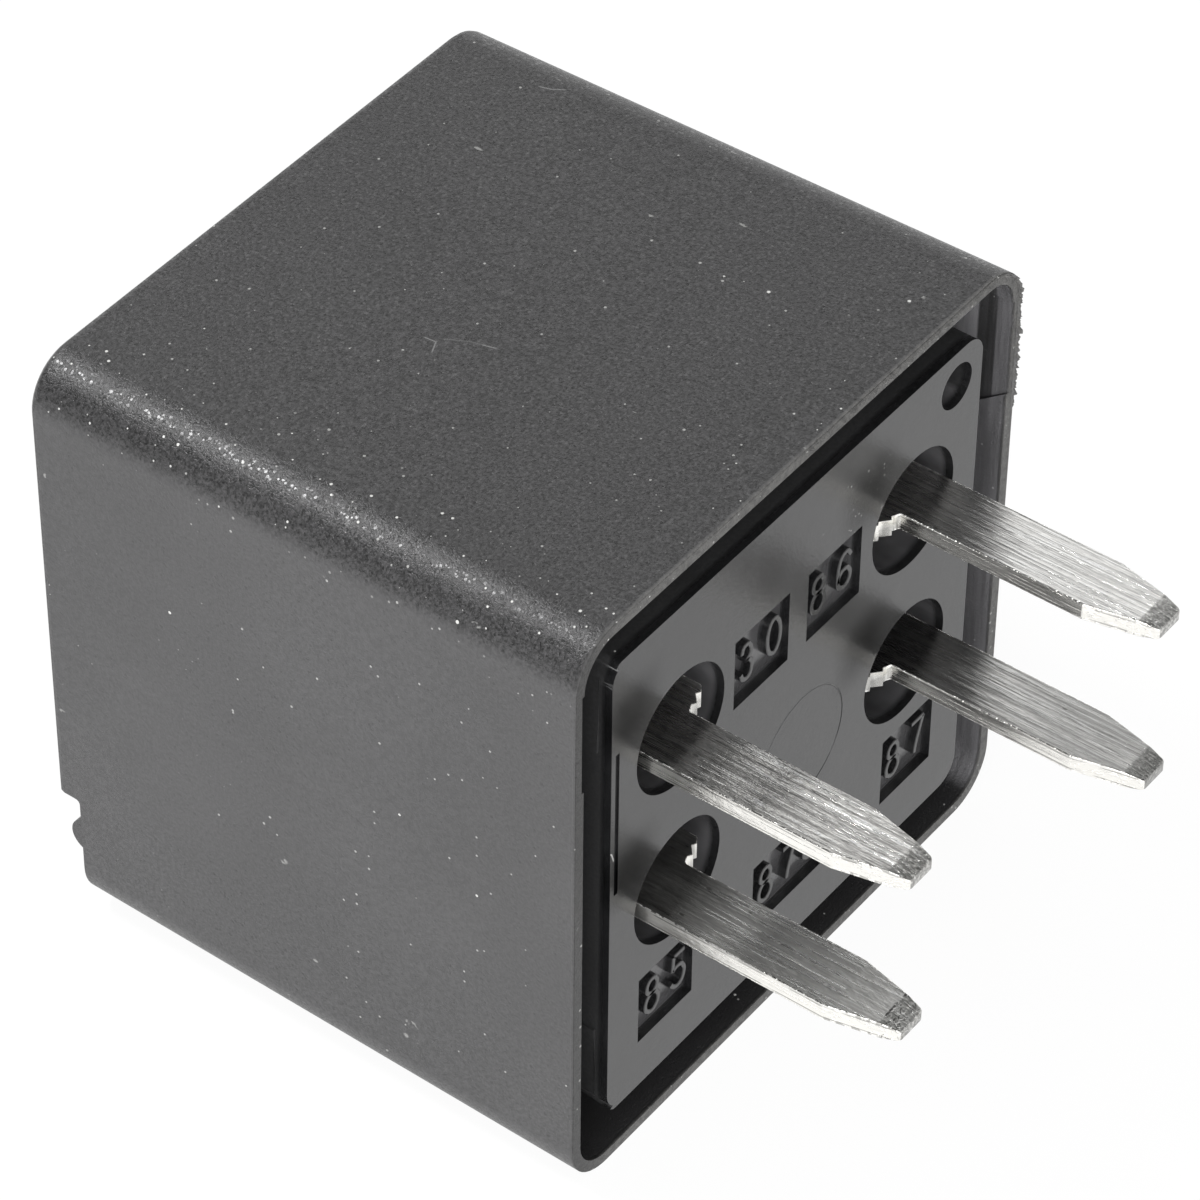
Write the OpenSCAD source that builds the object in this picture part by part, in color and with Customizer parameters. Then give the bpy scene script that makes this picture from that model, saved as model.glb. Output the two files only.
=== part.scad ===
// Plug-in automotive relay, sealed, normally open, with four blade terminals.
// +X points out along the terminals and +Z is up as the relay lies on its side.
// The origin is the middle of the cover's open rim. Moving pieces are drawn at rest, with the coil off.

/* [Cover] */
// Outside width of the cover at its rim
cover_w = 28; // [27:0.5:34]
// Outside height of the cover at its rim
cover_h = 28.1; // [27:0.5:34]
// Depth of the cover from its rim to its closed end
cover_l = 25.6; // [24.6:0.2:32]
// Corner radius of the cover's section
cover_r = 2.2; // [1.4:0.1:3.2]
// Inward draft of each side over the cover's depth
cover_draft = 0.23; // [0:0.01:0.5]
// Rounding where the sides turn into the closed end
end_round = 0.4; // [0.1:0.05:0.8]
// Wall thickness at the rim
rim_t = 0.5; // [0.4:0.05:0.8]
// Wall thickness around the mechanism
wall_t = 1.1; // [0.9:0.05:1.4]
// Thickness of the closed end
end_t = 1.2; // [0.8:0.1:1.8]
// Depth of the step across the closed end's lower edge
step_d = 1.18; // [0.6:0.02:1.6]
// Height of that step, from the cover's lower side
step_h = 6.15; // [4.5:0.05:7]
// Rounding of the closed end's lower edge, below the step
heel_r = 0.55; // [0.2:0.05:0.8]
// Rounding of the step's outer edge
brow_r = 0.3; // [0.1:0.05:0.5]
// Rounding in the step's inner corner
nook_r = 0.2; // [0.1:0.05:0.25]
// Wall thickness behind the step
step_t = 1; // [0.8:0.05:1.4]
// Radius of the finger rib on the step
rib_r = 0.85; // [0.5:0.05:1.1]
// Height of the finger rib's middle above the cover's lower side
rib_z = 3.35; // [2.4:0.05:4]
// Space left beside each end of the finger rib
rib_inset = 0.7; // [0.3:0.1:3]
// How much the two side walls are thinned at their upper corner
relief_d = 0.12; // [0.08:0.02:0.3]
// Height above the middle at which the thinned stretch starts
relief_z = 7.1; // [5:0.1:9]

/* [Base] */
// Gap between the terminal pad and the cover's wall, for the socket's collar
pad_gap = 1.8; // [1.2:0.1:2.4]
// How far the pad's face lies below the rim
pad_recess = 0.1; // [0:0.05:0.6]
// Corner radius of the pad
pad_r = 1.1; // [0.5:0.1:2]
// Depth of the collar gap, from the rim to the base flange
gap_depth = 4; // [3:0.1:5]
// Thickness of the base flange
flange_t = 1.6; // [1.2:0.1:2.4]
// Play between the flange and the cover's wall
flange_play = 0.05; // [0.02:0.01:0.15]
// Height of the catch ridges on the flange
catch_h = 0.2; // [0.1:0.02:0.25]
// Length of each catch ridge
catch_l = 9; // [5:0.5:12]
// Diameter of the round recess about each terminal
recess_d = 5.4; // [4.8:0.1:6]
// Depth of that recess below the pad's face
recess_depth = 3.1; // [1.5:0.1:3.6]
// Distance between the two columns of recesses
recess_pitch = 14.9; // [14.5:0.1:15.5]
// Diameter of the vent hole
vent_d = 2; // [1:0.1:2.4]
// Inset of the vent hole's middle from the pad's upper and outer edges
vent_inset = 1.7; // [1.6:0.05:2.6]
// Depth of the pockets that hold the terminal numbers
pocket_depth = 0.36; // [0.1:0.02:0.8]
// Height of those pockets
pocket_h = 3.4; // [2.8:0.1:4]
// Width of a pocket for two digits
pocket_w = 3.45; // [3:0.05:4]
// Width of the pocket for three characters
wide_pocket_w = 4.9; // [4.2:0.1:6]
// Diameter of the blanked fifth position
blank_d = 5.5; // [4:0.1:6.5]
// Length of the shallow slot along the pad's edge
edge_slot_l = 7.2; // [4:0.1:10]
// Width of that slot
edge_slot_w = 0.35; // [0.2:0.05:0.6]
// Depth of that slot
edge_slot_d = 0.12; // [0.06:0.02:0.3]

/* [Terminals] */
// Distance between the two columns of blades
blade_pitch = 16.3; // [15.9:0.1:16.7]
// Sideways shift of all blades from the middle
blade_shift = -0.1; // [-0.2:0.05:0.2]
// Distance between the two rows of blades
row_pitch = 7.9; // [7.5:0.1:8.2]
// Height of the upper row above the middle
upper_row = 5.55; // [5.3:0.05:5.8]
// Width of a blade
blade_w = 2.8; // [2.4:0.1:3]
// Thickness of a blade
blade_t = 0.8; // [0.6:0.1:0.9]
// How far the blades stand out of the rim
blade_l = 11.1; // [8:0.1:14]
// Length of the blade's tapered end
taper_l = 3; // [1.5:0.1:4]
// Width of the blade at its tip
tip_w = 1.45; // [1:0.05:2]
// Rounding where a blade's taper starts
taper_r = 0.5; // [0.2:0.05:1]
// Rounding of the tip's corners
tip_r = 0.2; // [0.05:0.05:0.4]
// Length of the coined bevel at the tip
bevel_l = 0.8; // [0.3:0.1:1.4]
// Depth of that bevel on each face
bevel_t = 0.16; // [0.05:0.01:0.25]
// Width of the shoulder on a blade's inner side
shoulder_w = 1.4; // [1:0.05:1.5]
// Depth of the shoulder's near end below the rim
shoulder_x = 0.15; // [0.1:0.05:0.6]
// Slope of the shoulder's sheared end
shoulder_drop = 0.5; // [0.2:0.05:1]
// Play around a terminal in its slot
slot_play = 0.05; // [0.02:0.01:0.12]
// Centre-line radius of the bends in the sheet metal
bend_r = 0.8; // [0.6:0.05:1]

/* [Coil and yoke] */
// Space between the return spring and the cover's upper wall
spring_room = 1.17; // [0.6:0.01:1.4]
// Distance from the contacts' middle up to the bobbin
coil_room = 3.1; // [2.9:0.05:3.6]
// How far the pole head's edge lies inside the bobbin's edge
pole_inset = 2.1; // [1.9:0.05:2.4]
// Thickness of the pole head
pole_t = 1.2; // [0.8:0.1:1.6]
// How far the pole head stands out past the iron core
pole_lip = 0.7; // [0.4:0.05:1.2]
// Shoulder between the core and its riveted spigot
spigot_step = 1.2; // [0.8:0.05:1.6]
// Thickness of the bobbin's flanges
bobbin_flange_t = 0.9; // [0.6:0.1:1.2]
// Corner radius of the bobbin's flanges
bobbin_r = 1.2; // [0.6:0.1:2]
// Wall of the bobbin's tube
bobbin_wall = 0.6; // [0.4:0.05:0.7]
// How far the winding lies below the bobbin's edge
winding_inset = 0.4; // [0.2:0.05:1]
// Diameter of the coil's wire ends
lead_d = 0.26; // [0.16:0.02:0.4]
// Width of the yoke
yoke_w = 11; // [10.4:0.1:11.6]
// Thickness of the yoke's iron sheet
yoke_t = 1.5; // [1.2:0.1:1.6]
// Distance from the base flange to the yoke's foot
foot_gap = 0.7; // [0.6:0.05:1]
// How far the yoke's foot ends above the bobbin's lower edge
foot_inset = 1.1; // [0.6:0.1:2]
// Width of the yoke's prongs and of the pedestals under its foot
prong_w = 2.2; // [1.6:0.1:2.6]
// Depth of the prongs and of the backstop in the base flange
prong_depth = 0.8; // [0.5:0.05:1]
// Width of the spring's lug on the yoke
lug_w = 2.8; // [2.4:0.1:3.2]
// Height of that lug above the spring's axis
lug_rise = 1.2; // [0.9:0.05:1.4]
// Width of each locating ear at the yoke's end
ear_w = 1.4; // [1:0.1:1.6]
// Length of the ears past the yoke's edge
ear_l = 1.8; // [1.5:0.1:2.2]

/* [Armature and contacts] */
// Thickness of the armature
armature_t = 1.3; // [1:0.1:1.5]
// Thickness of the contact leaf
leaf_t = 0.25; // [0.2:0.01:0.35]
// Distance from the pole head's edge down to the leaf's rivets
leaf_rivet_drop = 1.1; // [1:0.05:1.3]
// How far the leaf's rivets lie inside the pole head's sides
leaf_rivet_inset = 1; // [0.6:0.05:1.4]
// How far the armature ends above the moving contact
armature_gap = 0.75; // [0.4:0.05:0.9]
// Travel of the moving contact
contact_gap = 0.75; // [0.5:0.05:0.9]
// Diameter of the contact rivets' heads
contact_d = 2.8; // [2:0.1:3]
// Height of the contact rivets' heads
contact_h = 0.6; // [0.4:0.05:0.7]
// Gap left at the hinge edge, the pole and the contacts when the coil is on
closed_gap = 0.05; // [0.03:0.01:0.08]
// Height of the tongue that carries the fixed contact
tongue_h = 3.4; // [3:0.1:3.8]
// Space between that tongue and the backstop under it
tongue_gap = 0.55; // [0.3:0.05:0.8]
// Space between terminal 87's folded side and the cover's wall
fold_room = 0.97; // [0.6:0.01:1.4]
// Width of the narrow run that folds down behind terminal 87
fold_w = 2.6; // [2:0.1:3]
// Thickness of the backstop strip
stop_t = 0.5; // [0.4:0.05:0.6]
// Space between the backstop and the cover's lower wall
stop_room = 0.77; // [0.5:0.01:1.2]
// Width of the backstop strip
stop_w = 3.6; // [2.6:0.1:4]
// Space between the backstop and the closed end's wall
stop_space = 0.35; // [0.2:0.05:0.8]
// Diameter of the small rivets' shanks
rivet_d = 1.2; // [1:0.05:1.4]
// Height of the small rivets' heads
rivet_head_h = 0.4; // [0.3:0.05:0.5]
// Distance from the yoke's edge to terminal 30's rivets
tab_inset = 2.1; // [1.8:0.05:2.3]
// Space between those rivets and the bobbin's flange
tab_room = 0.1; // [0.05:0.01:0.4]
// Distance between those rivets
tab_pitch = 2.6; // [2.4:0.1:3]
// Length of terminal 30's tab past its last rivet
tab_past = 3; // [2.4:0.1:3.4]
// Width of that tab on each side of its rivets
tab_half = 1.4; // [1.2:0.05:1.8]
// Wire diameter of the return spring
spring_wire = 0.36; // [0.28:0.02:0.4]
// Outside diameter of the return spring
spring_d = 2.4; // [2:0.1:2.6]
// Turns of the return spring
spring_turns = 9; // [6:1:12]
// Sideways place of the return spring
spring_y = 2.4; // [2:0.1:2.8]
// Height of the return spring's axis above the yoke
spring_lift = 2.35; // [2.1:0.05:2.5]
// Diameter of the copper braid
braid_d = 1.2; // [0.8:0.1:1.4]
// How far the braid reaches down below the yoke, along the leaf
braid_leg = 3.6; // [3:0.1:4]
// Height of the braid's bow above the hinge edge
braid_bow = 1.5; // [1.3:0.05:1.9]
// Width of the narrow tail of each coil terminal
tail_w = 1.4; // [1:0.05:1.6]
// How far that tail lies out from its blade's middle
tail_out = 0.45; // [0.3:0.05:0.7]
// Length of the tail past the resistor's lead
tail_past = 1.1; // [0.8:0.05:1.6]
// Diameter of the resistor's body
resistor_d = 2.3; // [1.6:0.1:2.5]
// Length of the resistor's body
resistor_l = 6.3; // [5:0.1:8]
// Diameter of the resistor's leads
resistor_lead_d = 0.6; // [0.4:0.05:0.7]

/* [Hidden] */
$fn = 48;

// Clearance of pressed and riveted joints, and how far a cutter runs past what it cuts
snug = 0.02;
past = 0.5;

// The mechanism's heights: the spring hangs from the upper wall, the backstop stands on the lower one,
// and the coil fills what is left between the yoke and the contacts.
wall_lean = cover_draft / cover_l;
well_w = cover_w - 2 * (wall_t + wall_lean * cover_l);
well_h = cover_h - 2 * (wall_t + wall_lean * cover_l);
spring_z = well_h / 2 - spring_room - spring_d / 2;
hinge_z = spring_z - spring_lift;
yoke_in = hinge_z - yoke_t;
stop_z = -well_h / 2 + stop_room + stop_t / 2;
contact_z = stop_z + stop_t / 2 + tongue_gap + tongue_h / 2;
bobbin_w = yoke_in - contact_z - coil_room;
coil_z = yoke_in - bobbin_w / 2;
winding_d = bobbin_w - 2 * winding_inset;
pole_d = bobbin_w - 2 * pole_inset;
core_d = pole_d - 2 * pole_lip;
spigot_d = core_d - 2 * spigot_step;

// The chain from the rim inwards. All x places are negative, counted from the rim.
flange_x = -gap_depth;
flange_back = flange_x - flange_t;
foot_x = flange_back - foot_gap;
foot_back = foot_x - yoke_t;
end_x = -cover_l + end_t;
step_x = -cover_l + step_d;
stop_x = step_x + step_t + stop_space;
back_head_h = contact_h - 0.2;
back_head_d = contact_d * 0.8;
open_angle = asin(contact_gap / (hinge_z - contact_z));
head_tilt = back_head_d / 2 * sin(open_angle);
leaf_x = stop_x + stop_t + snug + head_tilt + back_head_h + contact_gap;
armature_x = leaf_x + leaf_t;
hinge_x = armature_x + armature_t + closed_gap;
pole_x = hinge_x;
bobbin_end = pole_x + pole_t;
yoke_bend = 0.3;
bobbin_front = foot_back - yoke_bend - snug;

// Widths and heights of the shell and the pad
inner_w = cover_w - 2 * rim_t;
inner_h = cover_h - 2 * rim_t;
pad_w = inner_w - 2 * pad_gap;
pad_h = inner_h - 2 * pad_gap;
flange_w = inner_w - 2 * (wall_lean * (gap_depth + flange_t) + flange_play);
flange_h = inner_h - 2 * (wall_lean * (gap_depth + flange_t) + flange_play);
floor_z = -cover_h / 2;
step_z = floor_z + step_h;
lower_row = upper_row - row_pitch;
blade_mid = blade_pitch / 2;
tail_mid = blade_mid + tail_out;
wrap_x = bobbin_front - bobbin_flange_t - 0.7;
resistor_x = wrap_x - 1.5 * lead_d - resistor_lead_d / 2 - 0.3;
tail_end = resistor_x - tail_past;

// Shapes drawn in a plane and pulled along one axis
module along_x(x0, x1) {
    translate([x0, 0, 0]) rotate([90, 0, 90]) linear_extrude(x1 - x0) children();
}

module along_y(y0, y1) {
    translate([0, y1, 0]) rotate([90, 0, 0]) linear_extrude(y1 - y0) children();
}

module along_z(z0, z1) {
    translate([0, 0, z0]) linear_extrude(z1 - z0) children();
}

module rod_x(x0, x1, d, y = 0, z = 0) {
    translate([x0, y, z]) rotate([0, 90, 0]) cylinder(h = x1 - x0, d = d);
}

module block(low, high) {
    translate(low) cube(high - low);
}

module round_rect(w, h, r) {
    square([w - 2 * r, h], center = true);
    square([w, h - 2 * r], center = true);
    for (sy = [-1, 1], sz = [-1, 1]) translate([sy * (w / 2 - r), sz * (h / 2 - r)]) circle(r);
}

// A sheet seen edge on: straight runs at right angles, joined by bends of centre-line radius bend
module strip(path, t, bend) {
    last = len(path) - 1;
    r = min(bend, min([for (i = [0:last - 1]) norm(path[i + 1] - path[i])]) / (last > 1 ? 2 : 1));
    for (i = [0:last - 1]) {
        d = unit(path[i + 1] - path[i]);
        a = path[i] + d * (i == 0 ? 0 : r);
        b = path[i + 1] - d * (i == last - 1 ? 0 : r);
        side = [abs(d[1]), abs(d[0])] * t / 2;
        low = [min(a[0], b[0]), min(a[1], b[1])] - side;
        high = [max(a[0], b[0]), max(a[1], b[1])] + side;
        translate(low) square(high - low);
    }
    for (i = [1:max(1, last - 1)]) if (last > 1) {
        d0 = unit(path[i] - path[i - 1]);
        d1 = unit(path[i + 1] - path[i]);
        mid = path[i] - d0 * r + d1 * r;
        corner = mid + (d0 - d1) * (r + t / 2);
        translate(mid) intersection() {
            difference() {
                circle(r + t / 2);
                circle(r - t / 2);
            }
            translate([min(0, corner[0] - mid[0]), min(0, corner[1] - mid[1])]) square(r + t / 2);
        }
    }
}

function unit(v) = v / norm(v);

// A round wire swept along a list of points
module wire(path, d, sides = 10) {
    last = len(path) - 1;
    dirs = [for (i = [0:last]) unit(path[min(last, i + 1)] - path[max(0, i - 1)])];
    side0 = unit(cross(dirs[0], abs(dirs[0][2]) < 0.9 ? [0, 0, 1] : [0, 1, 0]));
    frames = [for (i = 0, s = side0; i <= last;
        i = i + 1, s = i <= last ? unit(s - dirs[i] * (s * dirs[i])) : s) s];
    rings = [for (i = [0:last], k = [0:sides - 1])
        path[i] + d / 2 * (frames[i] * cos(360 * k / sides) + cross(dirs[i], frames[i]) * sin(360 * k / sides))];
    walls = [for (i = [0:last - 1], k = [0:sides - 1])
        [i * sides + k, (i + 1) * sides + k, (i + 1) * sides + (k + 1) % sides, i * sides + (k + 1) % sides]];
    near = [for (k = [0:sides - 1]) k];
    far = [for (k = [0:sides - 1]) last * sides + sides - 1 - k];
    polyhedron(rings, concat([near, far], walls));
}

// Points of a quarter turn about a centre, from direction a to direction b
function turn(mid, a, b, steps = 5) = [for (k = [0:steps]) mid + a * cos(90 * k / steps) + b * sin(90 * k / steps)];

// Points that round the corner b between a and c to the radius r
function corner(a, b, c, r, steps = 4) =
    let (p = unit(a - b), q = unit(c - b), half = acos(p * q) / 2, mid = b + unit(p + q) * r / sin(half),
        from = unit(b + p * r / tan(half) - mid), to = unit(b + q * r / tan(half) - mid))
    [for (k = [0:steps]) mid + r * unit(from * (steps - k) + to * k)];

// ---------------------------------------------------------------- cover

module cover_slab(x, inset, r) {
    along_x(x, x + 0.01) round_rect(cover_w - 2 * inset, cover_h - 2 * inset, r, $fn = 48);
}

module cover_skin() {
    hull() {
        cover_slab(-0.01, 0, cover_r);
        for (a = [0, 30, 60, 90]) {
            x = -cover_l + end_round * (1 - sin(a));
            cover_slab(x, wall_lean * -x + end_round * (1 - cos(a)), cover_r - end_round * (1 - cos(a)));
        }
    }
}

// The mouth widens towards the rim, where the wall is thinnest
module cover_mouth() {
    hull() {
        along_x(0, past) round_rect(inner_w, inner_h, cover_r - rim_t);
        along_x(flange_back, flange_back + 0.01)
            round_rect(flange_w + 2 * flange_play, flange_h + 2 * flange_play, cover_r - rim_t);
    }
}

module cover_well() {
    difference() {
        along_x(end_x, flange_back + past) round_rect(well_w, well_h, cover_r - rim_t);
        block([end_x - past, -cover_w, floor_z], [step_x + step_t, cover_w, step_z + step_t]);
    }
}

// The space outside the step, seen from the side, with the step's edges rounded
module step_cut() {
    low = floor_z - past;
    left = [-1, 0];
    down = [0, -1];
    polygon(concat([[-cover_l - past, low], [step_x + heel_r, low]],
        turn([step_x + heel_r, floor_z + heel_r], heel_r * down, heel_r * left),
        turn([step_x - nook_r, step_z - nook_r], -nook_r * left, -nook_r * down),
        turn([-cover_l + brow_r, step_z + brow_r], brow_r * down, brow_r * left),
        [[-cover_l - past, step_z + brow_r]]));
}

module cover() {
    color("#47474a") {
        difference() {
            cover_skin();
            cover_mouth();
            cover_well();
            along_y(-cover_w, cover_w) step_cut();
            for (s = [-1, 1]) {
                block([flange_x, s * inner_w / 2 - relief_d, relief_z],
                    [past, s * inner_w / 2 + relief_d, inner_h / 2 - cover_r + rim_t]);
                block([flange_x - flange_t / 2 - catch_h - flange_play, s * flange_w / 2 - catch_h - flange_play,
                    -catch_l / 2 - flange_play],
                    [flange_x - flange_t / 2 + catch_h + flange_play, s * flange_w / 2 + catch_h + 2 * flange_play,
                    catch_l / 2 + flange_play]);
            }
        }
        along_y(-cover_w / 2 + cover_draft + rib_inset, cover_w / 2 - cover_draft - rib_inset)
            translate([step_x, floor_z + rib_z]) {
                translate([rib_r - step_d, 0]) circle(rib_r);
                translate([rib_r - step_d, -rib_r]) square([step_d - rib_r + snug, 2 * rib_r]);
            }
    }
}

// ---------------------------------------------------------------- base

module pocket(y, z, w) {
    block([-pad_recess - pocket_depth, y - w / 2, z - pocket_h / 2], [past, y + w / 2, z + pocket_h / 2]);
}

// A slot that one terminal's sheet is pressed into, from its outer edge to its shoulder
module terminal_slot(s, z) {
    edges = [s * (blade_mid + blade_w / 2) + blade_shift, s * (blade_mid - blade_w / 2 - shoulder_w) + blade_shift];
    block([flange_back - past, min(edges) - slot_play, z - blade_t / 2 - slot_play],
        [0, max(edges) + slot_play, z + blade_t / 2 + slot_play]);
}

module base() {
    pedestal_h = 2 * (coil_z - foot_low - 0.6);
    upper_pocket_z = upper_row + 0.05;
    lower_pocket_z = lower_row - recess_d / 2 - pocket_h / 2 - 0.85;
    lip_top = pad_h / 2 - 0.7 * pad_r;
    color("#5a5a5d") difference() {
        union() {
            along_x(flange_x - snug, -pad_recess) round_rect(pad_w, pad_h, pad_r);
            along_x(flange_back, flange_x) round_rect(flange_w, flange_h, cover_r - rim_t);
            // The pad's side walls step out beside its corners
            for (s = [-1, 1], z = [relief_z + 0.2, -lip_top])
                block([flange_x - snug, s * pad_w / 2 - 0.1, z],
                    [-pad_recess - 0.6, s * pad_w / 2 + 0.1, z + lip_top - relief_z - 0.2]);
            for (s = [-1, 1]) {
                mid = [flange_x - flange_t / 2, s * flange_w / 2, -catch_l / 2];
                translate(mid) cylinder(h = catch_l, r = catch_h);
                // Pedestals under the yoke's foot
                foot_y = span(s, spigot_d / 2 + 1, prong_out);
                block([foot_x, foot_y[0], coil_z - pedestal_h / 2], [flange_back + snug, foot_y[1], coil_z + pedestal_h / 2]);
            }
        }
        for (s = [-1, 1], z = [upper_row, lower_row]) {
            rod_x(-pad_recess - recess_depth, past, recess_d, s * recess_pitch / 2, z);
            terminal_slot(s, z);
        }
        rod_x(flange_back - past, past, vent_d, pad_w / 2 - vent_inset, pad_h / 2 - vent_inset);
        pocket(-recess_pitch / 2 + recess_d / 2 + 2.35, upper_pocket_z, pocket_w);
        pocket(recess_pitch / 2 - recess_d / 2 - 2.5, upper_pocket_z, pocket_w);
        pocket(-recess_pitch / 2 - 0.6, lower_pocket_z, pocket_w);
        pocket(recess_pitch / 2 + 0.55, lower_pocket_z, pocket_w);
        pocket(-2.4 + wide_pocket_w / 2, lower_pocket_z, wide_pocket_w);
        // Witness line of the blanked fifth position
        translate([-pad_recess, 0.5, lower_row + 0.7]) rotate([0, 90, 0]) difference() {
            cylinder(h = 0.06, d = blank_d, center = true);
            cylinder(h = 0.2, d = blank_d - 0.16, center = true);
        }
        block([-pad_recess - edge_slot_d, -pad_w / 2 + 0.55, upper_row - row_pitch + 2.4],
            [past, -pad_w / 2 + 0.55 + edge_slot_w, upper_row - row_pitch + 2.4 + edge_slot_l]);
        // Sockets for the yoke's prongs and for the backstop
        for (s = [-1, 1]) block([flange_back - past, prong_y(s)[0] - slot_play, yoke_in - slot_play],
            [flange_back + prong_depth + slot_play, prong_y(s)[1] + slot_play, hinge_z + slot_play]);
        block([flange_back - past, -stop_w / 2 - slot_play, stop_z - stop_t / 2 - slot_play],
            [flange_back + prong_depth + slot_play, stop_w / 2 + slot_play, stop_z + stop_t / 2 + slot_play]);
    }
}

// ---------------------------------------------------------------- terminals

// Plan of a blade with its inner shoulder, for the column on side s, back to the place x_tail
module blade_plan(s, x_tail) {
    out = blade_mid + blade_w / 2;
    inn = blade_mid - blade_w / 2;
    taper = blade_l - taper_l;
    points = concat([[x_tail, out]],
        corner([x_tail, out], [taper, out], [blade_l, blade_mid + tip_w / 2], taper_r),
        corner([taper, out], [blade_l, blade_mid + tip_w / 2], [blade_l, blade_mid - tip_w / 2], tip_r),
        corner([blade_l, blade_mid + tip_w / 2], [blade_l, blade_mid - tip_w / 2], [taper, inn], tip_r),
        corner([blade_l, blade_mid - tip_w / 2], [taper, inn], [-shoulder_x, inn], taper_r),
        [[-shoulder_x, inn], [-shoulder_x - shoulder_drop, inn - shoulder_w], [x_tail, inn - shoulder_w]]);
    polygon([for (p = points) [p[0], s * p[1] + blade_shift]]);
}

// Edge view of a blade, thinned at the tip by the coined bevel
module blade_edge(x_tail) {
    for (m = [-1, 1]) polygon([[x_tail, 0], [x_tail, m * blade_t / 2], [blade_l - bevel_l, m * blade_t / 2],
        [blade_l, m * (blade_t / 2 - bevel_t)], [blade_l, 0]]);
}

module blade(s, z, x_tail) {
    intersection() {
        along_z(z - blade_t, z + blade_t) blade_plan(s, x_tail);
        along_y(-cover_w, cover_w) translate([0, z]) blade_edge(x_tail);
    }
}

// A coil terminal: the blade, and a narrow tail beside the coil with a hole for the resistor's lead
module coil_terminal(s, z) {
    color("#c9c7c0") difference() {
        union() {
            blade(s, z, flange_back - 0.4);
            along_z(z - blade_t / 2, z + blade_t / 2)
                translate([tail_end, s * tail_mid + blade_shift - tail_w / 2])
                    square([flange_back - tail_end, tail_w]);
        }
        translate([resistor_x, s * tail_mid + blade_shift, z - blade_t])
            cylinder(h = 2 * blade_t, d = resistor_lead_d + 2 * slot_play);
    }
}

module terminal_85() coil_terminal(-1, lower_row);
module terminal_86() coil_terminal(1, upper_row);

// Contact terminal 30 steps up behind the base and lies on the yoke as a riveted tab
riser_x = foot_x + 0.1;
tab_z = hinge_z + blade_t / 2;
tab_rivet_x = bobbin_front - bobbin_flange_t - tab_room - (rivet_d + 0.7) / 2;
tab_rivet_y = -yoke_w / 2 + tab_inset;
tab_end = tab_rivet_x - tab_pitch - tab_past;
tab_wide = tab_half + 2 * bend_r / 4;

module terminal_30() {
    out = -blade_mid - blade_w / 2 + blade_shift;
    color("#c9c7c0") difference() {
        union() {
            blade(-1, upper_row, flange_back + 0.2);
            along_y(out, out + blade_w)
                strip([[flange_back + 0.3, upper_row], [riser_x, upper_row], [riser_x, tab_z],
                    [riser_x - 2 * bend_r, tab_z]], blade_t, bend_r);
            along_z(tab_z - blade_t / 2, tab_z + blade_t / 2) polygon([[riser_x - bend_r, out],
                [riser_x - bend_r, out + blade_w], [riser_x - bend_r - 1, tab_rivet_y + tab_wide],
                [tab_end, tab_rivet_y + tab_wide], [tab_end, tab_rivet_y - tab_half],
                [tab_rivet_x - tab_half - 0.1, out]]);
        }
        for (i = [0, 1]) translate([tab_rivet_x - i * tab_pitch, tab_rivet_y, tab_z - blade_t])
            cylinder(h = 2 * blade_t, d = rivet_d + 2 * snug);
    }
}

// Contact terminal 87 folds down beside the coil, runs back, and folds in behind the contacts
fold_y = well_w / 2 - fold_room - blade_t / 2;
fold_x = flange_back - 0.3;
tongue_x = armature_x + contact_h + closed_gap + contact_h + blade_t / 2;

module terminal_87() {
    inn = blade_mid - blade_w / 2 + blade_shift;
    low = contact_z - tongue_h / 2;
    color("#c9c7c0") difference() {
        union() {
            blade(1, lower_row, fold_x + 0.1);
            along_x(fold_x - fold_w, fold_x)
                strip([[max(inn, bobbin_w / 2 + 0.3), lower_row], [fold_y, lower_row], [fold_y, low]], blade_t, bend_r);
            block([fold_x, inn, lower_row - blade_t / 2], [flange_back, inn + blade_w, lower_row + blade_t / 2]);
            along_z(low, low + tongue_h)
                strip([[fold_x, fold_y], [tongue_x, fold_y], [tongue_x, -contact_d / 2 - 0.7]], blade_t, bend_r);
        }
        rod_x(tongue_x - blade_t, tongue_x + blade_t, contact_d / 2 + 2 * snug, 0, contact_z);
    }
}

// ---------------------------------------------------------------- coil and yoke

foot_low = coil_z - bobbin_w / 2 + foot_inset;
// The prongs stay clear of the terminals' shoulders
prong_out = min(yoke_w / 2, blade_mid - blade_w / 2 - shoulder_w - abs(blade_shift) - 3 * slot_play);
function span(s, a, b) = [min(s * a, s * b), max(s * a, s * b)];
function prong_y(s) = span(s, prong_out - prong_w, prong_out);
lug_x = tab_rivet_x - rivet_d / 2;
lug_h = spring_lift + lug_rise;

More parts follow.
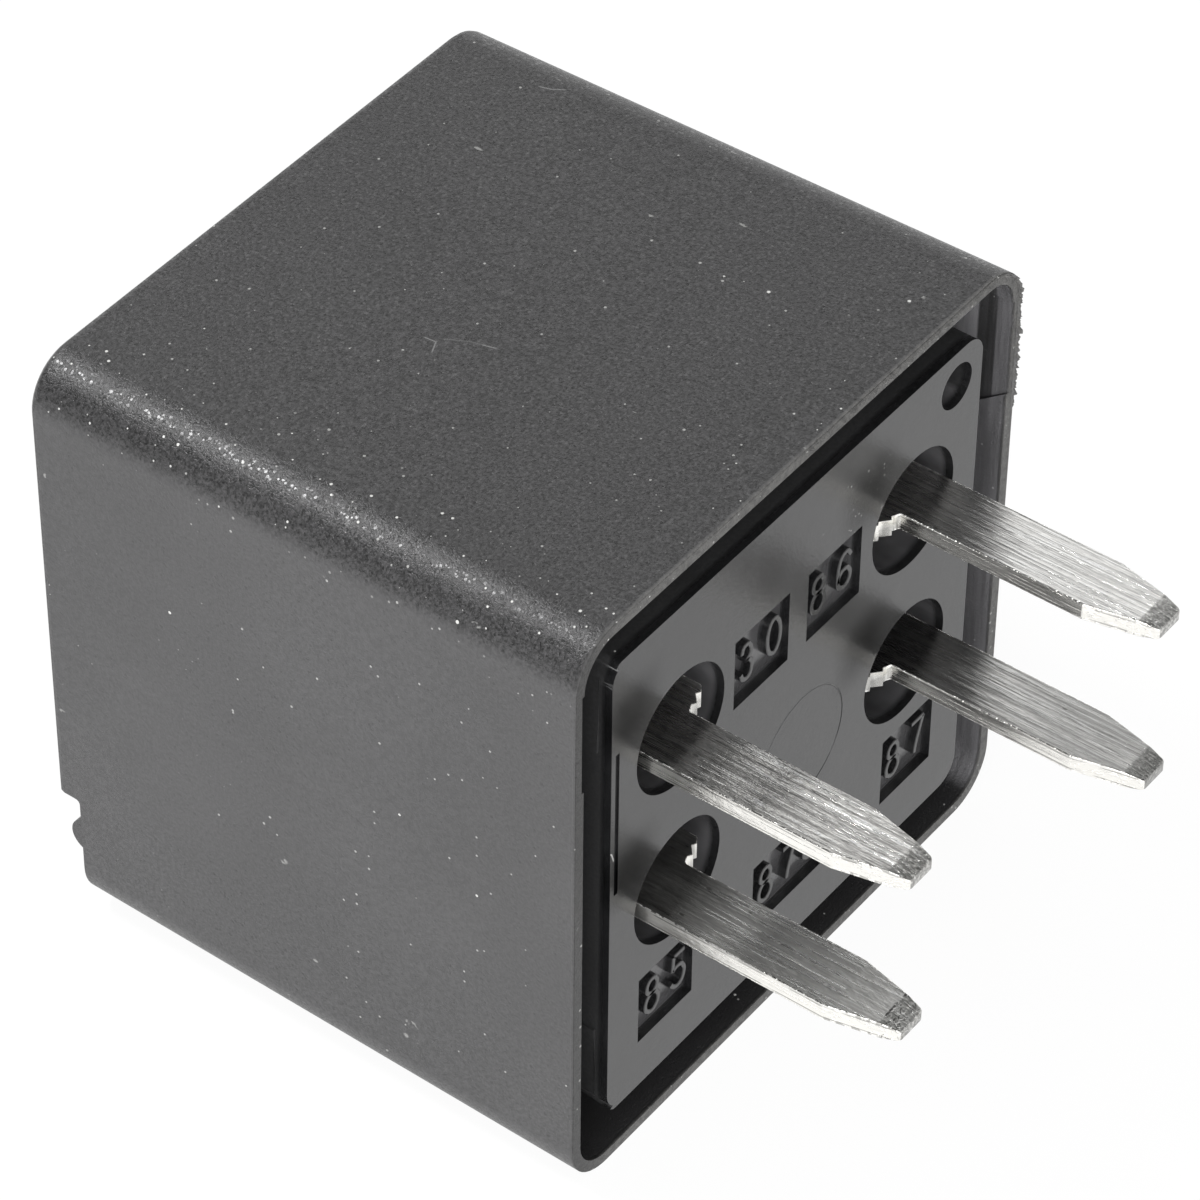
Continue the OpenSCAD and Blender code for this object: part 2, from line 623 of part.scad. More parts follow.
module yoke() {
    color("#b9bcc0") difference() {
        union() {
            along_y(-yoke_w / 2, yoke_w / 2)
                strip([[foot_x - yoke_t / 2, foot_low], [foot_x - yoke_t / 2, yoke_in + yoke_t / 2],
                    [hinge_x, yoke_in + yoke_t / 2]], yoke_t, yoke_t / 2 + yoke_bend);
            for (s = [-1, 1]) {
                block([foot_x - yoke_t, prong_y(s)[0], yoke_in], [flange_back + prong_depth, prong_y(s)[1], hinge_z]);
                block([hinge_x - ear_l, s > 0 ? yoke_w / 2 - ear_w : -yoke_w / 2, yoke_in],
                    [hinge_x + past, s > 0 ? yoke_w / 2 : -yoke_w / 2 + ear_w, hinge_z]);
            }
            block([lug_x - yoke_t, spring_y - lug_w / 2, hinge_z - yoke_t], [lug_x, spring_y + lug_w / 2, hinge_z + lug_h]);
        }
        rod_x(foot_x - 2 * yoke_t, foot_x + past, spigot_d + 2 * snug, 0, coil_z);
        // The window that the spring's lug was bent up from
        block([lug_x - yoke_t - lug_h, spring_y - lug_w / 2, yoke_in - past],
            [lug_x - yoke_t, spring_y + lug_w / 2, hinge_z + past]);
        rod_x(lug_x - 2 * yoke_t, lug_x + past, 3 * spring_wire, spring_y, spring_z);
        for (i = [0, 1]) translate([tab_rivet_x - i * tab_pitch, tab_rivet_y, yoke_in - past])
            cylinder(h = yoke_t + 2 * past, d = rivet_d + 2 * snug);
    }
}

module core() {
    color("#a9adb1") {
        rod_x(pole_x, bobbin_end, pole_d, 0, coil_z);
        rod_x(bobbin_end - snug, foot_back, core_d, 0, coil_z);
        rod_x(foot_back - snug, foot_x + foot_gap / 2, spigot_d, 0, coil_z);
        translate([foot_x, 0, coil_z]) rotate([0, 90, 0])
            cylinder(h = foot_gap * 0.7, d1 = spigot_d + 1.2, d2 = spigot_d);
    }
}

module bobbin() {
    tube = core_d / 2 + snug + bobbin_wall;
    leg_top = coil_z - bobbin_w / 2;
    color("#d8d3c4") difference() {
        union() {
            for (x = [bobbin_end, bobbin_front - bobbin_flange_t])
                along_x(x, x + bobbin_flange_t) translate([0, coil_z]) round_rect(bobbin_w, bobbin_w, bobbin_r);
            rod_x(bobbin_end, bobbin_front, 2 * tube, 0, coil_z);
            // Leg that carries the backstop strip
            block([bobbin_end, -stop_w / 2 - 0.6, stop_z + stop_t / 2],
                [bobbin_end + bobbin_flange_t, stop_w / 2 + 0.6, leg_top + snug]);
        }
        rod_x(bobbin_end - past, foot_back + past, core_d + 2 * snug, 0, coil_z);
    }
}

module lead_wraps(s, z) {
    x = wrap_x;
    y = s * tail_mid + blade_shift;
    wrap_r = norm([tail_w, blade_t]) / 2 + lead_d / 2 + snug;
    for (i = [-1:1]) translate([x + i * lead_d * 0.95, y, z]) rotate([0, 90, 0])
        rotate_extrude($fn = 24) translate([wrap_r, 0]) circle(d = lead_d, $fn = 16);
    wire([[x, s * (winding_d / 2 - 0.5), coil_z + (z - coil_z) * 0.35], [x, y - s * wrap_r, z]], lead_d);
}

module coil_winding() {
    inside = core_d + 2 * snug + 2 * bobbin_wall + 2 * snug;
    color("#8a3f1c") {
        difference() {
            rod_x(bobbin_end + bobbin_flange_t + snug, bobbin_front - bobbin_flange_t - snug, winding_d, 0, coil_z);
            rod_x(bobbin_end, foot_back, inside, 0, coil_z);
        }
        lead_wraps(-1, lower_row);
        lead_wraps(1, upper_row);
    }
}

// ---------------------------------------------------------------- moving pieces

// Moving pieces are drawn against the pole and swung open about the yoke's edge
module swung() {
    translate([hinge_x, 0, hinge_z]) rotate([0, open_angle, 0]) translate([-hinge_x, 0, -hinge_z]) children();
}

leaf_rivet_y = pole_d / 2 - leaf_rivet_inset;
leaf_rivet_z = coil_z - pole_d / 2 - leaf_rivet_drop;
armature_low = contact_z + contact_d / 2 + armature_gap;
braid_y = tab_rivet_y;

module armature_plan() {
    side = yoke_w / 2;
    neck = side - ear_w - 0.15;
    play = 0.35;
    translate([0, armature_low + 1]) translate([-side, 0]) square([2 * side, yoke_in - play - armature_low - 1]);
    translate([-side + 1, armature_low]) square([2 * side - 2, 2]);
    for (m = [-1, 1]) translate([m * (side - 1), armature_low + 1]) circle(1);
    translate([-neck, yoke_in - play - snug]) square([2 * neck, yoke_t + 2 * play + 2 * snug]);
    translate([-side + 0.6, hinge_z + play]) square([2 * side - 1.2, 0.8]);
    translate([spring_y - 1.7, hinge_z + play]) square([3.4, spring_lift - play]);
    translate([spring_y, spring_z]) circle(1.7);
}

module armature() {
    color("#b4b8bc") swung() difference() {
        along_x(armature_x, armature_x + armature_t) armature_plan();
        rod_x(armature_x - past, hinge_x + past, 3 * spring_wire, spring_y, spring_z);
        for (s = [-1, 1]) rod_x(armature_x - past, hinge_x + past, rivet_d + 2 * snug, s * leaf_rivet_y, leaf_rivet_z);
    }
}

module contact_leaf() {
    tip = contact_d / 2 + 0.5;
    wing = leaf_rivet_y + 1.3;
    color("#c58f52") swung() difference() {
        along_x(leaf_x, leaf_x + leaf_t) {
            polygon([[-wing, leaf_rivet_z + 1.4], [wing, leaf_rivet_z + 1.4], [wing, leaf_rivet_z - 1.4],
                [tip * 0.95, contact_z + 0.3], [-tip * 0.95, contact_z + 0.3],
                [-wing, leaf_rivet_z - 1.4]]);
            translate([0, contact_z]) circle(tip);
            translate([braid_y - 1.1, leaf_rivet_z]) square([2.2, yoke_in - 2.4 - leaf_rivet_z]);
        }
        rod_x(leaf_x - past, armature_x + past, contact_d / 2 + 2 * snug, 0, contact_z);
        for (s = [-1, 1]) rod_x(leaf_x - past, armature_x + past, rivet_d + 2 * snug, s * leaf_rivet_y, leaf_rivet_z);
    }
}

module moving_contact() {
    color("#e6e6e2") swung() {
        rod_x(armature_x, armature_x + contact_h, contact_d, 0, contact_z);
        rod_x(leaf_x - snug, armature_x + snug, contact_d / 2, 0, contact_z);
        rod_x(leaf_x - back_head_h, leaf_x, back_head_d, 0, contact_z);
    }
}

module fixed_contact() {
    face = tongue_x - blade_t / 2;
    color("#e6e6e2") {
        rod_x(face - contact_h, face, contact_d, 0, contact_z);
        rod_x(face - snug, face + blade_t + snug, contact_d / 2, 0, contact_z);
        rod_x(face + blade_t, face + blade_t + 0.3, contact_d * 0.75, 0, contact_z);
    }
}

module leaf_rivets() {
    color("#b98a5a") swung() for (s = [-1, 1]) {
        rod_x(leaf_x - rivet_head_h, leaf_x, rivet_d + 1, s * leaf_rivet_y, leaf_rivet_z);
        rod_x(leaf_x - snug, armature_x + armature_t + snug, rivet_d, s * leaf_rivet_y, leaf_rivet_z);
        rod_x(armature_x + armature_t, armature_x + armature_t + 0.25, rivet_d + 0.7, s * leaf_rivet_y, leaf_rivet_z);
    }
}

module tab_rivets() {
    top = tab_z + blade_t / 2;
    color("#b98a5a") for (i = [0, 1]) translate([tab_rivet_x - i * tab_pitch, tab_rivet_y, 0]) {
        along_z(top, top + rivet_head_h + 0.1) circle(d = rivet_d + 1);
        along_z(yoke_in - snug, top + snug) circle(d = rivet_d);
        along_z(yoke_in - 0.3, yoke_in) circle(d = rivet_d + 0.7);
    }
}

// ---------------------------------------------------------------- spring, braid, stop and resistor

// The spring's body lies between the lug and the armature's tail, with a hook through each
spring_r = (spring_d - spring_wire) / 2;
spring_x1 = lug_x - yoke_t - 1.3;
spring_x0 = hinge_x + 1.3;

function spring_body() = [for (k = [0:spring_turns * 16]) let (f = k / (spring_turns * 16), a = 360 * spring_turns * f)
    [spring_x1 + (spring_x0 - spring_x1) * f, spring_y + spring_r * sin(a), spring_z - spring_r * cos(a)]];

module return_spring() {
    start = [spring_x1, spring_y, spring_z - spring_r];
    end = [spring_x0, spring_y, spring_z - spring_r];
    hook = spring_r * 0.8;
    rise = [0, 0, spring_r];
    near = [lug_x + hook * 0.4, spring_y, spring_z];
    far = [hinge_x - armature_t - leaf_t, spring_y, spring_z];
    color("#8f9499") wire(concat(
        [near + [0.3, 0, -hook], near + [0.3, 0, -hook / 2], near, near - [0.5, 0, 0]],
        [start + [0.5, 0, spring_r], start + [0.15, 0, spring_r * 0.4]],
        spring_body(),
        [end + [-0.15, 0, spring_r * 0.4], end + [-0.5, 0, spring_r]],
        [far + [0.5, 0, 0], far, far + [-0.3, 0, -hook / 2], far + [-0.3, 0, -hook]]),
        spring_wire, 8);
}

module braid() {
    top = tab_z + blade_t / 2 + braid_d / 2;
    over = hinge_z + braid_bow + braid_d / 2;
    back = leaf_x - braid_d / 2 - 0.25;
    low = yoke_in - braid_leg;
    lean = (hinge_z - low) * sin(open_angle);
    color("#b5713f") wire(concat(
        [[tab_end + 1.4, braid_y, top], [tab_end, braid_y, top]],
        [[tab_end - 1, braid_y, (top + over) / 2], [tab_end - 2, braid_y, over]],
        turn([back + 1.1 - lean, braid_y, over - 1.4], [0, 0, 1.4], [-1.1, 0, 0]),
        [[back - lean, braid_y, low + 0.8], [back - lean, braid_y, low]]), braid_d);
}

module backstop() {
    x = stop_x + stop_t / 2;
    color("#b9bcc0") along_y(-stop_w / 2, stop_w / 2)
        strip([[flange_back + prong_depth, stop_z], [x, stop_z], [x, contact_z + contact_d / 2]], stop_t, bend_r);
}

module suppression_resistor() {
    z = coil_z - winding_d / 2 - resistor_d / 2 - 1.2;
    r = 1;
    left = -tail_mid + blade_shift;
    right = tail_mid + blade_shift;
    color("#4b6fa5") translate([resistor_x, 0, z]) rotate([90, 0, 0]) union() {
        cylinder(h = resistor_l - 2, d = resistor_d * 0.88, center = true);
        for (s = [-1, 1]) translate([0, 0, s * (resistor_l / 2 - 0.9)]) cylinder(h = 1.8, d = resistor_d, center = true);
    }
    color("#c9c7c0") wire(concat([[resistor_x, left, lower_row + blade_t]],
        turn([resistor_x, left + r, z + r], [0, -r, 0], [0, 0, -r]), [[resistor_x, 0, z]],
        turn([resistor_x, right - r, z + r], [0, 0, -r], [0, r, 0]),
        [[resistor_x, right, upper_row + blade_t]]), resistor_lead_d);
}

cover();
base();
terminal_30();
terminal_85();
terminal_86();
terminal_87();
yoke();
core();
bobbin();
coil_winding();
armature();
contact_leaf();
moving_contact();
fixed_contact();
leaf_rivets();
tab_rivets();
return_spring();
braid();
backstop();
suppression_resistor();
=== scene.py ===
"""Finishes and a small studio for a plug-in automotive relay, laid out as a Blender add-on."""

import math

import bmesh
import bpy
from mathutils import Matrix, Vector, noise


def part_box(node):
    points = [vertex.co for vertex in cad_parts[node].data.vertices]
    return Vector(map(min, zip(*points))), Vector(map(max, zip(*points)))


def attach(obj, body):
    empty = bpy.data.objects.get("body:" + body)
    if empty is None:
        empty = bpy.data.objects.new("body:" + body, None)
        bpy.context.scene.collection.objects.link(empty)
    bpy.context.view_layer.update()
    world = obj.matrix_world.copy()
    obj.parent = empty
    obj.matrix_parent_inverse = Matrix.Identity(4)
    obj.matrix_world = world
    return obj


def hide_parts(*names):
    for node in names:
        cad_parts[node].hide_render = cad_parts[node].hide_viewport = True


bl_info = {
    "name": "Plug-in Relay",
    "version": (1, 0, 0),
    "blender": (4, 5, 0),
    "location": "3D View > Sidebar > Relay",
    "description": "Builds the finished look of a plug-in automotive relay",
    "category": "Object",
}

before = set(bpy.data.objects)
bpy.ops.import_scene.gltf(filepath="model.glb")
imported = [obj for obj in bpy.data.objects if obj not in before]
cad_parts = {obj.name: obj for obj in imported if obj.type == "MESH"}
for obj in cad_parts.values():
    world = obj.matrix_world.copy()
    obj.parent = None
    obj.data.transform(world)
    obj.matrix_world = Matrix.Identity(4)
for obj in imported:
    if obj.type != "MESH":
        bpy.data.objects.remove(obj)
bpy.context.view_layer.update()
MM = 0.001
BLADES = {"terminal_30": -1, "terminal_86": 1, "terminal_85": -1, "terminal_87": 1}

# Radius of the cover's long corners
CORNER = 2.2 * MM

# Places on the pad and the cover, in millimetres: the recesses' distance from the middle and their two heights,
# the middle of the blanked position's round line, and the ways that the scratches and a fibre run
RECESS_Y, RECESS_HIGH, RECESS_LOW = 7.45, 5.55, -2.35
ROUND_LINE_Y, ROUND_LINE_Z = 0.5, -1.65
FAINT_SCRATCH = ((-14.3, -3.15), (-13.5, -2.7), (-12.45, -2.42))
SHORT_SCRATCH = ((-14.95, -3.5), (-14.45, -3.45), (-14.2, -4.0))
FAR_SCRATCH = ((-20.7, 11.1), (-20.2, 11.25), (-19.8, 11.55))
FIBRE = ((-11.75, 2.45), (-11.62, 2.35), (-11.5, 1.95))

# Middle lines of the characters, in a box from -0.5 to 0.5 across and up
LOOP = [(math.sin(k * math.pi / 12), math.cos(k * math.pi / 12)) for k in range(25)]
CHARACTERS = {
    "0": [[(0.46 * a, 0.5 * b) for a, b in LOOP]],
    "3": [[(-0.42, 0.3), (-0.33, 0.44), (-0.1, 0.5), (0.2, 0.46), (0.37, 0.31), (0.33, 0.16), (0.12, 0.06),
           (-0.08, 0.04)],
          [(-0.08, 0.04), (0.2, 0.02), (0.42, -0.1), (0.46, -0.27), (0.3, -0.45), (0, -0.5), (-0.3, -0.44),
           (-0.46, -0.26)]],
    "5": [[(0.42, 0.5), (-0.3, 0.5)], [(-0.3, 0.5), (-0.38, 0.06)],
          [(-0.38, 0.06), (-0.1, 0.12), (0.22, 0.09), (0.43, -0.06), (0.46, -0.22), (0.32, -0.42), (0.02, -0.5),
           (-0.28, -0.45), (-0.46, -0.3)]],
    "6": [[(0.44, 0.32), (0.28, 0.46), (0.02, 0.5), (-0.26, 0.4), (-0.42, 0.18), (-0.46, -0.1),
           (-0.45, -0.25)],
          [(0.45 * a, -0.235 + 0.265 * b) for a, b in LOOP]],
    "7": [[(-0.46, 0.5), (0.46, 0.5)], [(0.46, 0.5), (0.2, 0.12), (0.0, -0.2), (-0.1, -0.5)]],
    "8": [[(0.37 * a, 0.28 + 0.22 * b) for a, b in LOOP], [(0.46 * a, -0.22 + 0.28 * b) for a, b in LOOP]],
    "a": [[(0.4 * a, -0.28 + 0.22 * b) for a, b in LOOP], [(0.4, -0.04), (0.4, -0.5)]],
}


# ---------------------------------------------------------------- settings


def length(name, description, default_mm, high_mm=50):
    """A size in millimetres, kept in metres."""
    return bpy.props.FloatProperty(
        name=name, description=description, default=default_mm * MM, min=0, max=high_mm * MM,
        subtype="DISTANCE", unit="LENGTH", precision=5)


def share(name, description, default, high=1.0):
    return bpy.props.FloatProperty(
        name=name, description=description, default=default, min=0, max=high, subtype="FACTOR")


def colour(name, description, default):
    return bpy.props.FloatVectorProperty(
        name=name, description=description, default=default, size=3, min=0, max=1, subtype="COLOR")


def power(name, description, default):
    return bpy.props.FloatProperty(name=name, description=description, default=default, min=0, unit="POWER")


class ShellSettings(bpy.types.PropertyGroup):
    """The moulded cover and base."""

    cover_colour: colour("Cover colour", "Colour of the cover's moulded plastic", (0.021, 0.0206, 0.0212))
    base_colour: colour("Base colour", "Colour of the base's moulded plastic", (0.012, 0.012, 0.0126))
    # Painted light: the recess walls and the pocket floors are the pad's own plastic, painted paler for the
    # light they catch
    painted_light_recess_colour: colour("Recesses", "Colour of the matt walls round the blades", (0.075, 0.074, 0.077))
    painted_light_pocket_colour: colour("Pocket floors", "Colour of the matt floors round the numbers", (0.05, 0.049, 0.051))
    pad_set_back: length("Pad set back", "Distance from the rim's plane back to the pad's face", 0.1)
    # Painted reflection: how far the dark patches that stand in for the blades' reflections sit from their
    # recesses
    painted_reflection_shift: length("Painted reflection shift", "Distance up and to the left from a recess to its dark smudge", 3.1)
    # Painted light: how much paler the cover's flanks are painted, standing in for the light they catch
    painted_light_flank: share("Painted pale flanks", "How much paler the cover's flanks are painted, for the light they catch", 1.05, 4)
    # Painted light: the collar gap's outer wall gets a paler colour where the lamp lights it
    painted_light_wall_colour: colour("Inner wall", "Colour of the collar gap's outer wall, painted paler where lit", (0.14, 0.138, 0.144))
    rim_colour: colour("Rim colour", "Colour of the cover's rubbed rim", (0.1, 0.098, 0.094))
    dust_colour: colour("Dust colour", "Colour of the dust specks on the plastic", (0.62, 0.62, 0.6))
    ledge: length("Ledge", "Height of the ledge in the collar gap above the middle, at the rim", 7.3)
    slant: share("Ledge slant", "How far the ledge drops for each length inward", 0.75, 2)
    cover_edge: length("Cover edges", "Rounding of the cover's edges", 0.09)
    base_edge: length("Base edges", "Rounding of the base's edges", 0.08)
    outline_edge: length("Pad outline", "Rounding of the pad's outline", 0.16)
    grain: length("Grain height", "Height of the eroded grain on the cover", 0.019)
    dust: share("Dust", "Share of the dust specks that show", 0.3)


class NumberSettings(bpy.types.PropertyGroup):
    """The raised terminal numbers on the pad."""

    height: length("Height", "Height of the digits", 1.95)
    pocket: length("Pocket depth", "Depth of the pockets round the digits", 0.44)
    relief: length("Relief", "Height of the digits above their pocket", 0.43)
    crest: length("Crest", "Width of a digit's stroke at its top", 0.21)
    foot: length("Foot", "Width of a digit's stroke at the pocket's floor", 0.23)


class TerminalSettings(bpy.types.PropertyGroup):
    """The tinned blades."""

    tin: colour("Tin", "Colour of the tin plating", (0.88, 0.87, 0.84))
    edge: length("Edges", "Rounding of the blades' edges", 0.05)
    roughness: share("Roughness", "Roughness of the drawn tin", 0.23)
    coined: length("Coined end", "Length of the coined bevel at the tip", 0.8)
    tooth: length("Shear marks", "Depth of the shear marks on the shoulders", 0.16)


class InsideSettings(bpy.types.PropertyGroup):
    """The magnet and the contacts inside the cover."""

    iron: colour("Plated iron", "Colour of the zinc plated yoke and armature", (0.55, 0.56, 0.57))
    copper: colour("Enamelled wire", "Colour of the winding's enamelled wire", (0.42, 0.13, 0.045))
    bobbin: colour("Bobbin", "Colour of the bobbin's plastic", (0.68, 0.63, 0.5))
    edge: length("Edges", "Rounding of the inner pieces' edges", 0.05)


class StudioSettings(bpy.types.PropertyGroup):
    """The floor, the lamps and the camera."""

    floor: colour("Floor", "Colour of the floor", (0.92, 0.92, 0.92))
    key: power("Key lamp", "Power of the front lamp", 0.32)
    fill: power("Side lamp", "Power of the left lamp", 0.95)
    top: power("Top lamp", "Power of the overhead lamp", 0.25)
    sky: share("Sky", "Strength of the light from all round", 0.55, 2)
    flag: share("Dark ceiling", "How dark the room's ceiling is in reflections", 0.95)
    flag_low: share("Ceiling at the left", "Height at which the ceiling darkens at the left", 0.04)
    flag_high: share("Ceiling behind", "Height at which the ceiling darkens behind and at the right", 0.76)
    lens: bpy.props.FloatProperty(
        name="Lens", description="Focal length of the camera", default=173.4, min=20, unit="CAMERA")


# ---------------------------------------------------------------- shaders


class Value:
    """A number that varies over a surface or with direction. Arithmetic on it adds nodes that work it out."""

    def __init__(self, finish, socket):
        self.finish = finish
        self.socket = socket

    def math(self, operation, *values):
        node = self.finish.node("ShaderNodeMath", {"operation": operation}, dict(enumerate(values)))
        return Value(self.finish, node.outputs[0])

    def __add__(self, other):
        return self.math("ADD", self, other)

    def __sub__(self, other):
        return self.math("SUBTRACT", self, other)

    def __rsub__(self, other):
        return self.math("SUBTRACT", other, self)

    def __mul__(self, other):
        return self.math("MULTIPLY", self, other)

    def __truediv__(self, other):
        return self.math("DIVIDE", self, other)

    def __abs__(self):
        return self.math("ABSOLUTE", self)

    __radd__ = __add__
    __rmul__ = __mul__

    def most(self, other):
        return self.math("MAXIMUM", self, other)

    def below(self, limit):
        return self.math("LESS_THAN", self, limit)

    def sine(self):
        return self.math("SINE", self)

    def step(self, start, end, low=0.0, high=1.0):
        """Runs smoothly from low to high as the value goes from start to end."""
        settings = {"interpolation_type": "SMOOTHSTEP", "clamp": True}
        inputs = {"Value": self, "From Min": start, "From Max": end, "To Min": low, "To Max": high}
        node = self.finish.node("ShaderNodeMapRange", settings, inputs)
        return Value(self.finish, node.outputs["Result"])

    def near(self, middle, half, soft):
        """1 within half of the middle, fading to 0 over soft."""
        return abs(self - middle).step(half, half + soft, 1.0, 0.0)


class Shading:
    """A node tree, with the one method that adds nodes to it."""

    def __init__(self, tree):
        self.tree = tree

    def node(self, kind, settings=None, inputs=None):
        """Adds a node. Its settings are set first, then its sockets get values or links."""
        node = self.tree.nodes.new(kind)
        for key, value in (settings or {}).items():
            setattr(node, key, value)
        for key, value in (inputs or {}).items():
            self.feed(node.inputs[key], value)
        return node

    def feed(self, socket, value):
        source = value.socket if isinstance(value, Value) else value
        if isinstance(source, bpy.types.NodeSocket):
            self.tree.links.new(source, socket)
        elif socket.type == "RGBA":
            socket.default_value = (*source, 1)
        else:
            socket.default_value = source

    def vector(self, operation, *values):
        node = self.node("ShaderNodeVectorMath", {"operation": operation}, dict(enumerate(values)))
        return node.outputs[0]

    def parts(self, vector):
        """The three numbers of a vector."""
        split = self.node("ShaderNodeSeparateXYZ", {}, {0: vector})
        return [Value(self, socket) for socket in split.outputs]

    def seen(self):
        """1 for the camera's rays, and 1 for those that a mirror or glass sends on."""
        kinds = ("Camera", "Glossy", "Transmission")
        rays = self.node("ShaderNodeLightPath").outputs
        direct, mirrored, through = (Value(self, rays[f"Is {kind} Ray"]) for kind in kinds)
        return direct, mirrored.most(through)


class Finish(Shading):
    """One material, with its nodes. Places are in millimetres, in the frame's axes."""

    def __init__(self, name, **constants):
        self.material = bpy.data.materials.new(name + "_finish")
        self.material["slot"] = name
        self.material.use_nodes = True
        super().__init__(self.material.node_tree)
        self.shader = self.tree.nodes["Principled BSDF"]
        for socket, value in constants.items():
            self.feed(self.shader.inputs[socket.replace("_", " ")], value)
        coordinates = self.node("ShaderNodeTexCoord").outputs
        self.place = self.vector("MULTIPLY", coordinates["Object"], (1 / MM,) * 3)
        self.x, self.y, self.z = self.parts(self.place)
        self.normal_x, self.normal_y, self.normal_z = self.parts(coordinates["Normal"])

    def stretched(self, x, y, z):
        """The place, scaled along each axis, for grain that runs one way."""
        return self.vector("MULTIPLY", self.place, (x, y, z))

    def noise(self, scale, detail=2.0, roughness=0.5, place=None):
        """Noise of about 0.3 to 0.7, with so many cells to the millimetre."""
        inputs = {"Vector": place or self.place, "Scale": scale, "Detail": detail, "Roughness": roughness}
        node = self.node("ShaderNodeTexNoise", {"noise_dimensions": "3D"}, inputs)
        return Value(self, node.outputs["Fac"])

    def specks(self, scale, radius, share_shown, place=None):
        """Round specks of the given radius in cells, on that share of the cells."""
        inputs = {"Vector": place or self.place, "Scale": scale}
        node = self.node("ShaderNodeTexVoronoi", {"feature": "F1"}, inputs)
        pick = self.node("ShaderNodeSeparateColor", {}, {0: node.outputs["Color"]}).outputs
        size = Value(self, pick[1]) * radius + radius * 0.4
        inside = (Value(self, node.outputs["Distance"]) / size).step(0.7, 1.0, 1.0, 0.0)
        return inside * Value(self, pick[0]).below(share_shown)

    def mix(self, factor, first, second):
        """Blends two colours."""
        settings = {"data_type": "RGBA", "clamp_factor": True}
        return self.node("ShaderNodeMix", settings, {0: factor, 6: first, 7: second}).outputs[2]

    def scaled(self, tint, factor):
        """A colour made lighter or darker by a value."""
        node = self.node("ShaderNodeVectorMath", {"operation": "SCALE"}, {0: tint, "Scale": factor})
        return node.outputs[0]

    def colour(self, value):
        self.feed(self.shader.inputs["Base Color"], value)

    def roughness(self, value):
        self.feed(self.shader.inputs["Roughness"], value)

    def metallic(self, value):
        self.feed(self.shader.inputs["Metallic"], value)

    def coat(self, value):
        self.feed(self.shader.inputs["Coat Weight"], value)

    def bump(self, height, distance):
        """Turns a height of 0 to 1 into relief of that depth, in metres."""
        node = self.node("ShaderNodeBump", {}, {"Height": height, "Distance": distance})
        self.feed(self.shader.inputs["Normal"], node.outputs["Normal"])


def scratch(finish, first, second, points, width):
    """A mask of a scratch through some points, each given along the two axes handed in, in millimetres."""
    mask = None
    for (x0, y0), (x1, y1) in zip(points, points[1:]):
        run = math.hypot(x1 - x0, y1 - y0)
        ux, uy = (x1 - x0) / run, (y1 - y0) / run
        along = (first - x0) * ux + (second - y0) * uy
        across = (first - x0) * -uy + (second - y0) * ux
        stroke = across.near(0, width * 0.2, width * 0.8) * along.near(run / 2, run / 2 - 0.05, 0.15)
        mask = mask.most(stroke) if mask else stroke
    return mask


